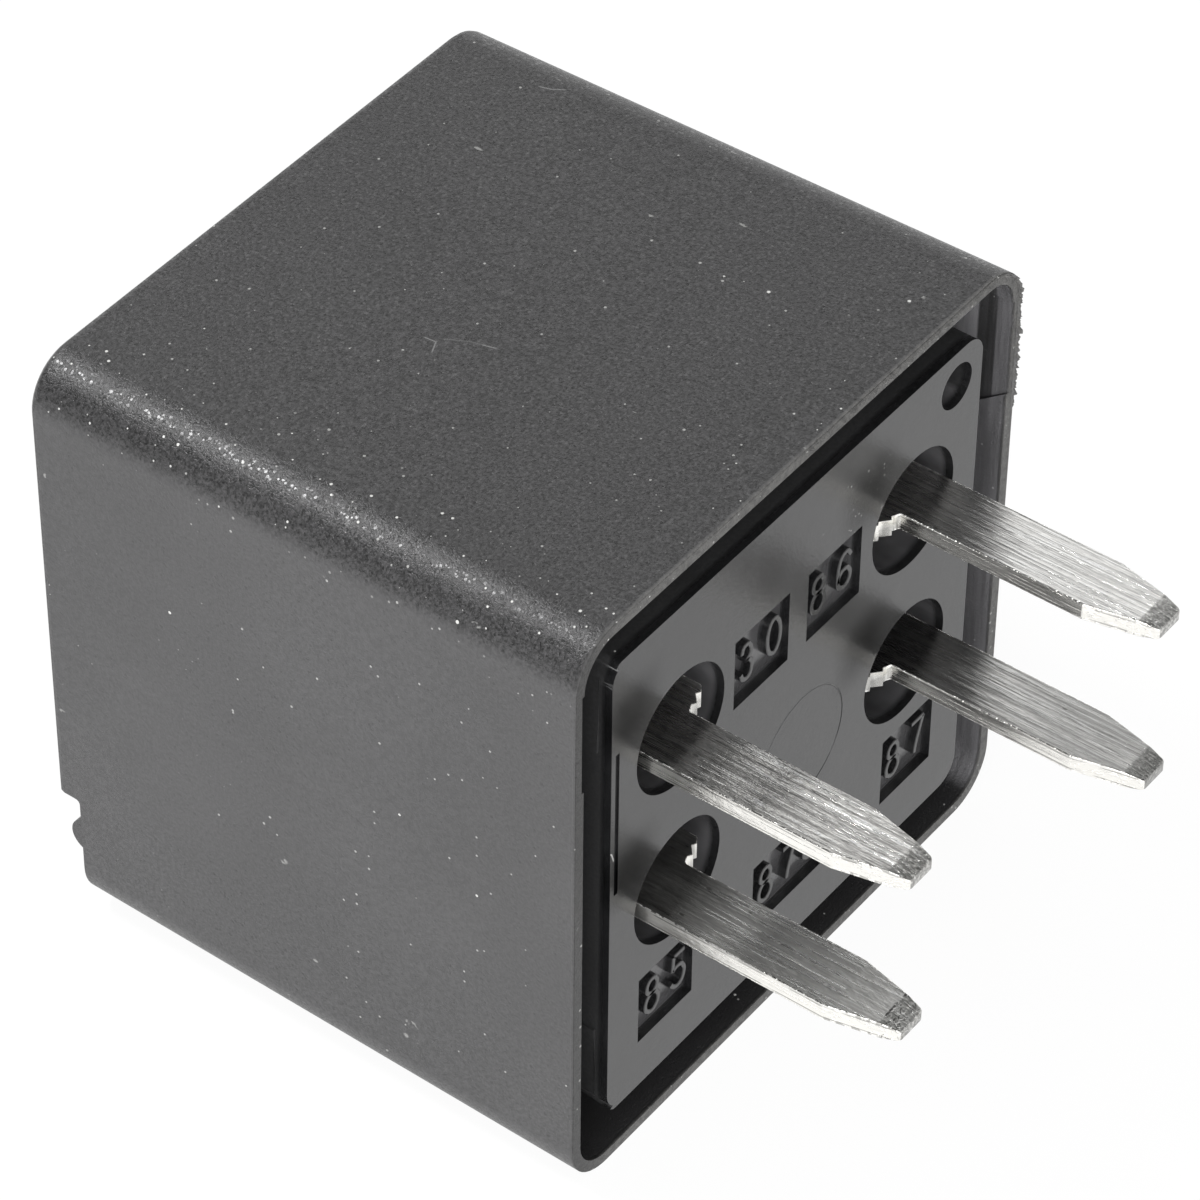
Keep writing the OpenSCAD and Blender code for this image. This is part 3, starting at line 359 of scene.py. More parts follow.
def cover_finish(settings):
    """Eroded black plastic with fine grain, dust, a sink line, a few scratches and a paler, torn rim, with
    painted light on the flanks and painted light and shadow on the collar gap's outer wall.
    """
    finish = Finish("cover_plastic", Specular_IOR_Level=0.62, Coat_Roughness=0.24)
    x, y, z = finish.x, finish.y, finish.z
    grain = finish.noise(6.5, 3, 0.75)
    fine = finish.noise(13, 2, 0.7)
    cloud = finish.noise(0.12, 3, 0.6)
    pores = finish.specks(6, 0.4, 0.2)

    # Dust lies thicker along the upper left edge, where its pale specks also stand in for painted glints in the
    # edge's highlight, and behind the rim
    dust_and_glint_edge = (y + 12.2).near(0, 1.0, 2.2) * z.step(11, 13)
    behind_rim = x.step(-3.4, -0.6) * z.step(13, 13.8)
    fine_dust = finish.specks(3.1, 0.16, settings.dust * 0.25) * 0.5
    dust = finish.specks(1.1, 0.075, settings.dust * 0.3).most(fine_dust)
    dust = dust.most(finish.specks(2.6, 0.14, settings.dust * 1.4) * dust_and_glint_edge)
    dust = dust.most(finish.specks(2.4, 0.12, settings.dust * 1.2) * behind_rim)
    lint = finish.specks(1.6, 0.2, 0.05, finish.stretched(0.4, 1.3, 0.7)) * finish.noise(3, 1).step(0.5, 0.6)
    marks = scratch(finish, x, y, FAINT_SCRATCH, 0.05) * finish.noise(1.6).step(0.4, 0.55, 0.35)
    marks = marks.most(scratch(finish, x, y, SHORT_SCRATCH, 0.045))
    marks = marks.most(scratch(finish, x, y, FAR_SCRATCH, 0.045)) * finish.normal_z.step(0.9, 0.98)

    # Painted light and shadow: the collar gap's outer wall is painted paler where the lamp lights it, and paler
    # still deep in above the ledge, with a painted shadow of the pad in a band above the ledge
    ledge = settings.ledge / MM
    inner = finish.normal_y.step(-0.3, -0.8) * y.step(12.2, 12.7) * x.step(-4.2, -3.9)
    streaks = finish.noise(1.0, 2, 0.6, finish.stretched(5, 1, 0.3)).step(0.35, 0.6, 0.75, 1.0)
    above = (z - x * settings.slant).step(ledge - 0.06, ledge + 0.02)
    shade = (x + 1.17).near(0, 0.36, 0.1) * above * streaks
    deep = x.step(-1.5, -1.65) * above

    # Grain and glints are on the outside only, and softer on the flanks
    outward = finish.normal_y * y + finish.normal_z * z
    outward = outward.step(0.5, 2.0).most(finish.normal_x.step(-0.5, -0.8))
    painted_light_flank = abs(finish.normal_y).step(0.93, 0.999) * outward * z.step(-14, -2, 0.7, 1.0)
    speckle = 1 + grain.step(0.3, 0.7, -0.8, 1.2) * outward * (1 - painted_light_flank * 0.75)
    glints = finish.specks(6.5, 0.42, 0.5) * outward * finish.normal_z.step(0.3, 0.6)
    rim = x.step(-0.16, -0.02)
    crumbs = finish.noise(3.2, 4, 0.75)
    rubbed = rim * crumbs.step(0.35, 0.6, 0.35, 0.95) * y.step(-13.6, -11, 0.2, 1.0)

    # Painted light: the flanks are painted paler, less so low down, standing in for the light that falls on
    # them
    lightness = cloud.step(0.3, 0.7, 0.92, 1.08) * speckle * (painted_light_flank * settings.painted_light_flank + 1)
    tint = finish.scaled(tuple(settings.cover_colour), lightness)
    tint = finish.mix(pores * outward * (0.85 - painted_light_flank * 0.6), tint, (0.003, 0.003, 0.003))
    wall = finish.scaled(tuple(settings.painted_light_wall_colour), deep * 1.3 + streaks)
    tint = finish.mix((1 - shade) * inner, tint, wall)
    tint = finish.mix(rubbed, tint, tuple(settings.rim_colour))
    tint = finish.mix(dust * 0.85 + lint * 0.3, tint, tuple(settings.dust_colour))
    finish.colour(finish.mix(marks * 0.3, tint, (0.4, 0.4, 0.4)))
    finish.roughness(fine.step(0.3, 0.7, 0.28, 0.42) + marks * 0.1 + rim * 0.2 + shade * inner * 0.3)
    finish.coat(glints * 0.6)
    ripple = z.near(0.2, 0.0, 0.5) * x.step(-3.4, -5.0) * finish.normal_y.step(-0.5, -0.9)
    relief = grain * 1.2 + fine * 0.7 + finish.noise(2.4, 2) * 0.35 - pores * 0.4 + dust * 0.5 - ripple * 0.8
    finish.bump(relief * (1 - painted_light_flank * 0.5) + rim * crumbs * 4.0, settings.grain)
    return finish.material


def base_finish(settings, pocket_depth):
    """Smoother, glossier black plastic, with faint flow marks, some dust, one fibre, recess walls and pocket
    floors painted paler for the light they catch, and painted dark reflections beside the recesses.
    """
    finish = Finish("base_plastic", Specular_IOR_Level=0.62)
    x, y, z = finish.x, finish.y, finish.z
    grain = finish.noise(7, 3, 0.65)
    flow = finish.noise(0.3, 3, 0.55)
    facing = finish.normal_x.step(0.8, 0.95)
    dust = finish.specks(1.6, 0.1, settings.dust * 0.25)
    corner = (y - 3.6).near(0, 1.4, 1.2) * (z - 8.6).near(0, 0.9, 1.2)
    dusty_corner = corner * finish.noise(1.1, 2).step(0.45, 0.6) * finish.specks(4.5, 0.24, 0.5)
    fibre = scratch(finish, y, z, FIBRE, 0.05) * facing
    deep = x.step(-0.35, -0.7)
    recess = deep * abs(y).step(11.2, 11.4, 1.0, 0.0) * abs(z).step(9.2, 9.4, 1.0, 0.0)
    pocket = (x + (settings.pad_set_back + pocket_depth) / MM).near(0, 0.03, 0.04) * facing
    lightness = flow.step(0.3, 0.7, 0.85, 1.15) * grain.step(0.3, 0.7, 0.7, 1.4)
    tint = finish.scaled(tuple(settings.base_colour), lightness)
    # Painted light: the pocket floors and the recess walls are painted paler than the pad, standing in for the
    # light in these hollows
    tint = finish.mix(pocket, tint, tuple(settings.painted_light_pocket_colour))
    painted_paler = finish.scaled(tuple(settings.painted_light_recess_colour), flow.step(0.35, 0.65, 0.7, 1.3))
    tint = finish.mix(recess, tint, painted_paler)
    finish.colour(finish.mix(dust * 0.8 + dusty_corner * 0.45 + fibre * 0.7, tint, tuple(settings.dust_colour)))

    # Painted reflection: a soft dark patch above and to the left of each recess, made by turning the pad
    # metallic there, stands in for the blade's blurred reflection
    away = settings.painted_reflection_shift / MM
    middle, half = (RECESS_HIGH + RECESS_LOW) / 2, (RECESS_HIGH - RECESS_LOW) / 2
    across, up = abs(abs(y + away) - RECESS_Y), abs(abs(z - (away + middle)) - half)
    painted_reflection = across.near(0, 0.3, 1.9) * up.near(0, 0.3, 1.9)
    finish.metallic(painted_reflection * (1 - deep) * flow.step(0.3, 0.7, 0.75, 1.0))
    finish.roughness(flow.step(0.3, 0.7, 0.17, 0.24) + (deep - recess) * 0.6)
    finish.bump(grain * 0.8 + flow * 1.5 + dust * 0.5, settings.grain * 0.45)
    return finish.material


def tin_finish(settings):
    """Tin plating drawn along the blades, with a sparkling burr, nicks, dark streaks and a coined tip, and
    painted light and shade on the blades' flats.
    """
    finish = Finish("tinned_terminal", Metallic=1.0)
    x, y, z = finish.x, finish.y, finish.z
    lines = finish.noise(1.0, 3, 0.7, finish.stretched(0.14, 7, 7))
    fine = finish.noise(1.0, 2, 0.7, finish.stretched(1.2, 13, 13))
    hair = finish.noise(1.0, 2, 0.5, finish.stretched(0.16, 9, 9)).step(0.55, 0.6)
    hammer = finish.noise(5.0, 3, 0.7, finish.stretched(0.5, 1, 1))
    mottle = finish.noise(2.2, 3, 0.6)
    grit = finish.noise(7, 2, 0.6)
    nicks = finish.specks(2.2, 0.2, 0.12, finish.stretched(0.7, 1.6, 1))
    (_, (out, _, upper)), (under, over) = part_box("terminal_86"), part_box("terminal_85")
    pitch, thick = (upper - over.z) / MM, (over.z - under.z) / MM
    rows = abs(abs(z - (upper + under.z) / 2 / MM) - pitch / 2)
    side = abs(finish.normal_y).step(0.35, 0.6)
    flat = abs(finish.normal_z).step(0.6, 0.8)
    cut = finish.normal_x.step(0.4, 0.7) * x.step(0.5, 1.0, 1.0, 0.0)
    torn = finish.noise(1.0, 1, 0.5, finish.stretched(0.3, 4, 0.3)).step(0.45, 0.6, 0.0, 0.4)
    worn = x.step(0.6, 2.6)

    # The sheared edge carries a bright, beaded burr with a dark line beside it
    seam = abs(rows - thick / 2).near(0, 0.1, 0.05) * abs(finish.normal_y).near(0.55, 0.4, 0.06)
    bead = finish.noise(4.2, 1, 0.5).step(0.45, 0.52)
    burr = seam * bead
    groove = abs(rows - thick / 2 + 0.13).near(0, 0.015, 0.03) * side * finish.noise(0.7, 2).step(0.4, 0.5)

    # The four blades differ: the lower left one is rougher, and the left ones are bowed and more hammered. The
    # lower right blade's flats are painted darker, and those of the lower left and upper right blades painted
    # lighter, standing in for the light that each catches
    lower = z.step(0, 2, 1.0, 0.0)
    left = y.step(-1, 0, 1.0, 0.0)
    bow = left * x.step(0.8, 4.6, 26.0, 0.0)
    tip = x.step((out - settings.coined) / MM - 0.12, (out - settings.coined) / MM)
    streaks = 1 - (1 - lines.step(0.36, 0.64, 0.62, 1.2)) * (worn * 0.8 + 0.2) * (1 - side * 0.75)
    lightness = streaks * fine.step(0.3, 0.7, 0.8, 1.15) * mottle.step(0.25, 0.7, 0.88, 1.05)
    # Painted shade and light: darker flats on the lower right blade, lighter flats on the lower left and upper
    # right blades
    painted_shade_lower_right = lower * (1 - left) * (1 - side) * x.step(0, 8, 0.45, 0.7)
    painted_light_flats = (lower * left * 0.5 + (1 - lower) * (1 - left) * 0.35) * flat * worn
    tint = finish.scaled(tuple(settings.tin), lightness)
    tint = finish.mix(hair * worn * flat * 0.8, tint, (1.0, 1.0, 0.98))
    tint = finish.mix(side * 0.85 + cut * 0.9, tint, finish.scaled((1.0, 0.985, 0.94), 1 - cut * torn))
    tint = finish.mix(painted_shade_lower_right, tint, (0.4, 0.4, 0.39))
    tint = finish.mix(painted_light_flats, tint, (0.98, 0.98, 0.96))
    # Painted shade: the flats are painted darker toward the root, standing in for the dark recess and pad that
    # they face and reflect, more so on the lower blades
    tint = finish.scaled(tint, 1 - (lower * 0.3 + 0.3) * flat * x.step(0.5, 4.0, 1.0, 0.0))
    tint = finish.mix(nicks * flat * 0.6 + groove * 0.6, tint, (0.09, 0.085, 0.08))
    tint = finish.mix(seam * (1 - bead) * left * 0.7, tint, (0.12, 0.12, 0.11))
    tint = finish.mix(burr, tint, (1.0, 0.99, 0.96))
    tint = finish.mix(tip * (1 - side) * grit.step(0.35, 0.6, 0.35, 0.8), tint, (0.22, 0.22, 0.21))
    finish.colour(tint)
    drawn = lines.step(0.3, 0.7, settings.roughness + 0.04, settings.roughness - 0.08)
    finish.roughness(drawn + lower * left * 0.1 + x.step(0, 3.5, 0.08, 0.0) - hair * 0.06)
    crinkle = finish.specks(3.4, 0.5, 1.0) * lower * left * tip
    relief = lines * 1.3 + fine * 0.6 + hammer * left * 1.6 - nicks * 0.5 + burr * 1.5
    relief = relief + crinkle * 3.0 + hair * worn * 0.8
    finish.bump(relief * (1 - cut) + bow * flat, 0.012 * MM)
    return finish.material


def metal_finish(name, tint, roughness, streak, grit=0.01):
    """Sheet or turned metal with rolled streaks, small stains and a fine tooth."""
    finish = Finish(name, Metallic=1.0)
    lines = finish.noise(1.0, 4, 0.65, finish.stretched(*streak))
    stain = finish.noise(0.45, 4, 0.6)
    tooth = finish.noise(12, 2)
    lightness = lines.step(0.3, 0.7, 0.85, 1.1) * stain.step(0.3, 0.7, 0.88, 1.08)
    finish.colour(finish.scaled(tuple(tint), lightness))
    finish.roughness(stain.step(0.3, 0.7, roughness - 0.06, roughness + 0.1))
    finish.bump(lines + tooth * 0.5, grit * MM)
    return finish.material


def bobbin_finish(tint):
    """Pale glass-filled plastic with faint fibres and flow lines."""
    finish = Finish("bobbin_plastic", Roughness=0.45)
    fibre = finish.noise(1.0, 3, 0.7, finish.stretched(2, 9, 3))
    flow = finish.noise(0.35, 3)
    lightness = fibre.step(0.3, 0.7, 0.9, 1.06) * flow.step(0.3, 0.7, 0.92, 1.05)
    finish.colour(finish.scaled(tuple(tint), lightness))
    finish.roughness(fibre.step(0.3, 0.7, 0.4, 0.55))
    finish.bump(fibre, 0.008 * MM)
    return finish.material


def winding_finish(tint, wire=0.26):
    """Turns of enamelled wire laid side by side along the coil, with painted shade in the grooves between them.
    """
    finish = Finish("enamelled_copper", Metallic=0.85, Coat_Weight=0.6, Coat_Roughness=0.12)
    turns = (finish.x * (2 * math.pi / wire)).sine()
    groove = turns.step(-1.0, 0.2)
    wander = finish.noise(0.8, 3)
    # Painted shade: the colour darkens in the grooves between the turns
    finish.colour(finish.scaled(tuple(tint), groove * 0.7 + wander.step(0.3, 0.7, 0.3, 0.45)))
    finish.roughness(wander.step(0.3, 0.7, 0.22, 0.36))
    finish.bump(turns * 0.5 + 0.5, wire / 2 * MM)
    return finish.material


def braid_finish():
    """Bare copper strands plaited round each other, with painted shade in the hollows of the weave."""
    finish = Finish("bare_copper", Metallic=1.0)
    weave = ((finish.x + finish.z) * 9).sine().most(((finish.x - finish.z + finish.y) * 9).sine())
    strands = finish.noise(1.0, 2, 0.5, finish.stretched(14, 14, 3))
    # Painted shade: the colour darkens in the low parts of the weave
    finish.colour(finish.scaled((0.62, 0.27, 0.14), weave.step(-0.4, 0.9, 0.45, 1.1)))
    finish.roughness(strands.step(0.3, 0.7, 0.28, 0.45))
    finish.bump(weave * 0.5 + strands * 0.3, 0.06 * MM)
    return finish.material


def lacquer_finish():
    """Blue lacquer with orange-peel gloss, bare tinned wire outside the body."""
    finish = Finish("resistor_lacquer", Roughness=0.3)
    body = (finish.z + 6.9).near(0, 1.2, 0.1) * abs(finish.y).step(3.2, 3.3, 1.0, 0.0)
    peel = finish.noise(2.5, 2)
    bands = finish.y.near(-2.0, 0.22, 0.04).most(finish.y.near(-1.1, 0.22, 0.04))
    paint = finish.mix(bands, (0.1, 0.22, 0.42), (0.05, 0.035, 0.02))
    paint = finish.mix(finish.y.near(0.9, 0.22, 0.04), paint, (0.42, 0.12, 0.02))
    finish.colour(finish.mix(body, finish.scaled((0.7, 0.69, 0.66), peel.step(0.3, 0.7, 0.9, 1.1)), paint))
    finish.metallic(1 - body)
    finish.roughness(peel.step(0.3, 0.7, 0.25, 0.36))
    finish.bump(peel, 0.03 * MM)
    return finish.material


# ---------------------------------------------------------------- pieces


def add_piece(name, mesh, material, body):
    """Puts a mesh in the scene, riding on a body of the frame."""
    piece = bpy.data.objects.new(name, mesh)
    bpy.context.scene.collection.objects.link(piece)
    mesh.materials.clear()
    mesh.materials.append(material)
    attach(piece, body)
    return piece


def rounded_mesh(node, radius, skip=None, shape=None, wide=None):
    """A copy of a CAD node's mesh with its sharp edges rounded and smooth faces between them.
    Shape may move its corners first, and skip names edges to leave. The edges that wide's function picks are
    rounded first, by wide's radius."""
    sharp = math.radians(40)
    work = bmesh.new()
    work.from_mesh(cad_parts[node].data)
    bmesh.ops.remove_doubles(work, verts=work.verts, dist=0.002 * MM)
    bmesh.ops.dissolve_limit(work, angle_limit=math.radians(1), verts=work.verts, edges=work.edges)
    if shape:
        shape(work)
    for picks, offset in (wide, (None, radius)) if wide else ((None, radius),):
        edges = [e for e in work.edges if e.is_manifold and e.calc_face_angle(0) > sharp
                 and not (skip and skip(e)) and (picks is None or picks(e))]
        bmesh.ops.bevel(work, geom=edges, offset=offset, offset_type="OFFSET", segments=3, profile=0.5,
                        affect="EDGES", clamp_overlap=True, miter_outer="ARC", loop_slide=True)
    for face in work.faces:
        face.smooth = True
    mesh = bpy.data.meshes.new(node + "_finished")
    work.to_mesh(mesh)
    work.free()
    mesh.set_sharp_from_angle(angle=sharp)
    return mesh


def finished(node, radius, material, body="relay", **options):
    """A rounded copy that stands for the CAD node."""
    piece = add_piece(node + "_finished", rounded_mesh(node, radius, **options), material, body)
    weighted = piece.modifiers.new("normals", "WEIGHTED_NORMAL")
    weighted.keep_sharp = True
    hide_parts(node)
    return piece


class RELAY_OT_cover(bpy.types.Operator):
    """Makes the moulded cover"""

    bl_idname = "relay.cover"
    bl_label = "Cover"

    def execute(self, context):
        settings = context.scene.relay_shell
        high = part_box("cover")[1]
        wall = high.y - 0.5 * MM

        def slanted(work):
            """Makes the ledge in the collar gap's outer wall drop inward."""
            for corner in work.verts:
                x, y, z = corner.co
                if abs(y - wall) < 0.2 * MM and 6.5 * MM < z < 7.6 * MM and x > -4.5 * MM:
                    corner.co.z = settings.ledge + x * settings.slant

        def outermost(corner):
            past_y, past_z = (abs(corner.co[axis]) - high[axis] + CORNER for axis in (1, 2))
            if past_y > 0 and past_z > 0:
                return math.hypot(past_y, past_z) > CORNER - 0.25 * MM
            return max(past_y, past_z) > CORNER - 0.2 * MM

        def inner_rim(edge):
            return all(corner.co.x > -0.02 * MM and not outermost(corner) for corner in edge.verts)

        finished("cover", settings.cover_edge, cover_finish(settings), shape=slanted, skip=inner_rim)
        return {"FINISHED"}


def rim_line(inset, straight=60, round_steps=12):
    """The rim's outline, set in by some distance: up the right side, over the top and down the left side."""
    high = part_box("cover")[1]
    y, z, r = high.y - inset, high.z - inset, CORNER - inset
    turns = [k * math.pi / 2 / round_steps for k in range(round_steps + 1)]
    up, across = 2 * z - 2 * r, 2 * y - 2 * r
    line = [Vector((y, -z + r + k * up / straight)) for k in range(straight)]
    line += [Vector((y - r + r * math.cos(a), z - r + r * math.sin(a))) for a in turns]
    line += [Vector((y - r - k * across / straight, z)) for k in range(1, straight)]
    line += [Vector((-y + r - r * math.sin(a), z - r + r * math.cos(a))) for a in turns]
    return line + [Vector((-y, z - r - k * up / straight)) for k in range(1, straight + 1)]


class RELAY_OT_flash(bpy.types.Operator):
    """Makes the torn moulding flash on the rim"""

    bl_idname = "relay.flash"
    bl_label = "Rim flash"

    def execute(self, context):
        corners = rim_line(0.03 * MM)
        line = []
        for a, b in zip(corners, corners[1:]):
            steps = max(2, int((b - a).length / (0.055 * MM)))
            line += [a.lerp(b, k / steps) for k in range(steps)]
        work = bmesh.new()
        rings = []
        for point in line:
            y, z = point / MM
            # The flash is torn on the upper right corner and on a short run of the left side
            torn = max(0.0, min(1.0, (z - 6.3) / 0.4)) if y > 0 else 0.0
            torn = max(torn, 0.5 * (y > 10.2 and z > 6.5), 0.3 * (y < -13.5 and 6.8 < z < 8.9))
            ragged = abs(noise.noise(Vector((y * 2.3, z * 2.3, 4)))) * 1.1
            ragged += abs(noise.noise(Vector((y * 9, z * 9, 1)))) * 0.7
            rise = (0.012 + 0.3 * torn * ragged) * MM
            lean = noise.noise(Vector((y * 4, z * 4, 8))) * 0.05 * MM
            middle = Vector((y, z)) * MM
            if abs(abs(y) - abs(z)) < 2:
                inward = Vector((-y, -z)).normalized()
            elif abs(y) > abs(z):
                inward = Vector((-1 if y > 0 else 1, 0))
            else:
                inward = Vector((0, -1))
            ring = ((0, -0.02 * MM), (0, rise * 0.8), (0.02 * MM + lean * torn, rise), (0.09 * MM, rise * 0.7),
                    (0.13 * MM, -0.02 * MM))
            rings.append([work.verts.new((up, *(middle + inward * max(0, step)))) for step, up in ring])
        for ring, following in zip(rings, rings[1:]):
            for a, b, c, d in zip(ring, ring[1:], following[1:], following):
                work.faces.new((a, b, c, d))
        for ring in (rings[0], rings[-1]):
            work.faces.new(ring)
        material = bpy.data.materials["cover_plastic_finish"]
        add_piece("rim_flash", mesh_from(work, "rim_flash"), material, "relay")
        return {"FINISHED"}


class RELAY_OT_base(bpy.types.Operator):
    """Makes the base with its terminal pad"""

    bl_idname = "relay.base"
    bl_label = "Base"

    def execute(self, context):
        settings = context.scene.relay_shell
        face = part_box("base")[1].x
        pocket = context.scene.relay_numbers.pocket

        def worked(work):
            """Shifts the slot at the pad's edge outward, tapers the lips' ends, deepens the pockets and fades
            the round line on one side."""
            line_floor = [f for f in work.faces if f.normal.x > 0.9
                          and all(0.01 < (face - v.co.x) / MM < 0.05 for v in f.verts)]
            bmesh.ops.triangulate(work, faces=line_floor)
            slot_start, slot_end, lip_y, lip_end, flush = -11.3, -10.6, 11.75, 10.98, 11.64
            for corner in work.verts:
                depth, y, z = (face - corner.co.x) / MM, corner.co.y / MM, corner.co.z / MM
                if slot_start < y < slot_end and depth < 0.2:
                    corner.co.y -= (0.3 if y < -11 else 0.42) * MM
                if abs(y) > lip_y and abs(abs(z) - lip_end) < 0.1 and depth > 0.4:
                    corner.co.y = math.copysign(flush * MM, y)
                if 0.3 < depth < 0.42 and abs(y) < 11 and abs(z) < 10:
                    corner.co.x = face - pocket
                if 0.01 < depth < 0.05:
                    turn = math.cos(math.atan2(z - ROUND_LINE_Z, y - ROUND_LINE_Y) + 0.3)
                    corner.co.x = face - depth * max(0.1, min(1.0, turn * 1.6 - 0.2)) * MM

        def outline(edge):
            return all(v.co.x > face - 0.02 * MM and (abs(v.co.y) > 11.5 * MM or abs(v.co.z) > 11 * MM)
                       for v in edge.verts)

        def shallow(edge):
            small = any(abs(f.calc_area()) < 0.2 * MM * MM for f in edge.link_faces)
            return small and edge.calc_length() < 0.4 * MM and all(v.co.x > -0.2 * MM for v in edge.verts)

        finished("base", settings.base_edge, base_finish(settings, pocket),
                 skip=shallow, shape=worked, wide=(outline, settings.outline_edge))
        return {"FINISHED"}


def smooth_line(points, steps=5):
    """More points along a curve that runs through the given ones."""
    if len(points) < 3 or len(points) > 20:
        return [Vector(point) for point in points]
    ends = [Vector(point) for point in (points[0], *points, points[-1])]
    line = []
    for a, b, c, d in zip(ends, ends[1:], ends[2:], ends[3:]):
        for k in range(steps):
            t = k / steps
            bend, twist = 2 * a - 5 * b + 4 * c - d, 3 * b - a - 3 * c + d
            line.append(0.5 * (2 * b + (c - a) * t + bend * t ** 2 + twist * t ** 3))
    return line + [ends[-1]]


def ridge(work, line, place, foot, crest, relief):
    """Adds a ridge with a rounded crest along a line. Place maps the line's plane into the frame."""
    half = [(foot / 2, 0), (crest / 2, relief * 0.93), (crest * 0.36, relief)]
    profile = [(-across, up) for across, up in half] + half[::-1]
    closed = (line[0] - line[-1]).length < 1e-6
    rings = []
    for k, point in enumerate(line[:-1] if closed else line):
        before = line[k - 1] if k else (line[-2] if closed else point)
        after = line[k + 1] if k + 1 < len(line) else point
        across = (after - before).normalized().orthogonal()
        rings.append([work.verts.new(place(point + across * offset, up)) for offset, up in profile])
    pairs = list(zip(rings, rings[1:])) + ([(rings[-1], rings[0])] if closed else [])
    for ring, following in pairs:
        for a, b, c, d in zip(ring, ring[1:], following[1:], following):
            work.faces.new((a, b, c, d))
    if not closed:
        for ring in (rings[0], rings[-1]):
            work.faces.new(ring)


def mesh_from(work, name):
    bmesh.ops.recalc_face_normals(work, faces=work.faces)
    for face in work.faces:
        face.smooth = True
    mesh = bpy.data.meshes.new(name)
    work.to_mesh(mesh)
    work.free()
    mesh.set_sharp_from_angle(angle=math.radians(32))
    return mesh


class RELAY_OT_numbers(bpy.types.Operator):
    """Makes the raised terminal numbers in the pad's pockets"""

    bl_idname = "relay.numbers"
    bl_label = "Terminal numbers"

    def execute(self, context):
        settings = context.scene.relay_numbers
        material = bpy.data.materials["base_plastic_finish"]
        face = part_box("base")[1].x
        rows = {name: sum(corner.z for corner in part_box(name)) / 2 for name in ("terminal_86", "terminal_85")}
        upper = rows["terminal_86"] + 0.22 * MM
        lower = rows["terminal_85"] - 5.08 * MM
        places = {"30": (upper, (-3.3, -1.57)), "86": (upper, (1.27, 2.96)), "85": (lower, (-8.85, -7.2)),
                  "87": (lower, (7.12, 8.78)), "87a": (lower, (-1.5, 0.05, 1.45))}
        tall, floor = settings.height - settings.crest, face - settings.pocket - 0.01 * MM
        for text, (z, columns) in places.items():
            work = bmesh.new()
            for character, y in zip(text, columns):
                wide = (0.738 if character == "3" else 0.9) * MM

                def on_pad(point, up):
                    return Vector((floor + up, y * MM + point.x, z + point.y))

                for path in CHARACTERS[character]:
                    line = [Vector((a * wide, b * tall)) for a, b in smooth_line(path)]
                    ridge(work, line, on_pad, settings.foot, settings.crest, settings.relief)
            add_piece("number_" + text, mesh_from(work, "number_" + text), material, "relay")
        return {"FINISHED"}


def sheared(work, side, settings):
    """Cuts shear marks into a blade's inner shoulder, where the blanking tool tore the sheet."""
    inner = min(side * v.co.y for v in work.verts if v.co.x > -2 * MM)
    marks = (0.0, 0.34, 0.52, 0.9, 1.08, 1.5, 1.7, 2.2)
    for mark in marks[1:]:
        bmesh.ops.bisect_plane(work, geom=[*work.verts, *work.edges, *work.faces], dist=1e-7,
                               plane_co=(0, side * (inner + mark * MM), 0), plane_no=(0, 1, 0))
    for vertex in work.verts:
        if not -2.2 * MM < vertex.co.x < 0.2 * MM:
            continue
        out = side * vertex.co.y - inner
        near = [k for k, mark in enumerate(marks) if abs(out - mark * MM) < 0.02 * MM]
        front = any(face.normal.x > 0.3 and abs(face.normal.z) < 0.3 for face in vertex.link_faces)
        if near and front and near[0] > 0:
            depth = settings.tooth * (0.6 + 0.4 * math.sin(near[0] * 2.7))
            vertex.co.x += depth if near[0] % 2 else -depth


class RELAY_OT_terminals(bpy.types.Operator):
    """Makes the four tinned terminals"""

    bl_idname = "relay.terminals"
    bl_label = "Terminals"

    def execute(self, context):
        settings = context.scene.relay_terminals
        material = tin_finish(settings)
        for node, side in BLADES.items():
            finished(node, settings.edge, material, shape=lambda work: sheared(work, side, settings))
        return {"FINISHED"}


class RELAY_OT_magnet(bpy.types.Operator):
    """Makes the yoke, core, armature, backstop and return spring"""

    bl_idname = "relay.magnet"
    bl_label = "Magnet"

    def execute(self, context):
        settings = context.scene.relay_inside
        iron = metal_finish("plated_iron", settings.iron, 0.3, (0.4, 9, 9))
        spring = metal_finish("spring_steel", (0.4, 0.4, 0.41), 0.25, (6, 6, 6))
        for node in ("yoke", "core", "armature", "backstop"):
            finished(node, settings.edge, iron, "armature" if node == "armature" else "relay")
        finished("return_spring", 0, spring)
        return {"FINISHED"}


class RELAY_OT_coil(bpy.types.Operator):
    """Makes the bobbin, winding and suppression resistor"""

    bl_idname = "relay.coil"
    bl_label = "Coil"

    def execute(self, context):
        settings = context.scene.relay_inside
        finished("bobbin", settings.edge, bobbin_finish(settings.bobbin))
        finished("coil_winding", 0, winding_finish(settings.copper))
        finished("suppression_resistor", 0, lacquer_finish())
        return {"FINISHED"}


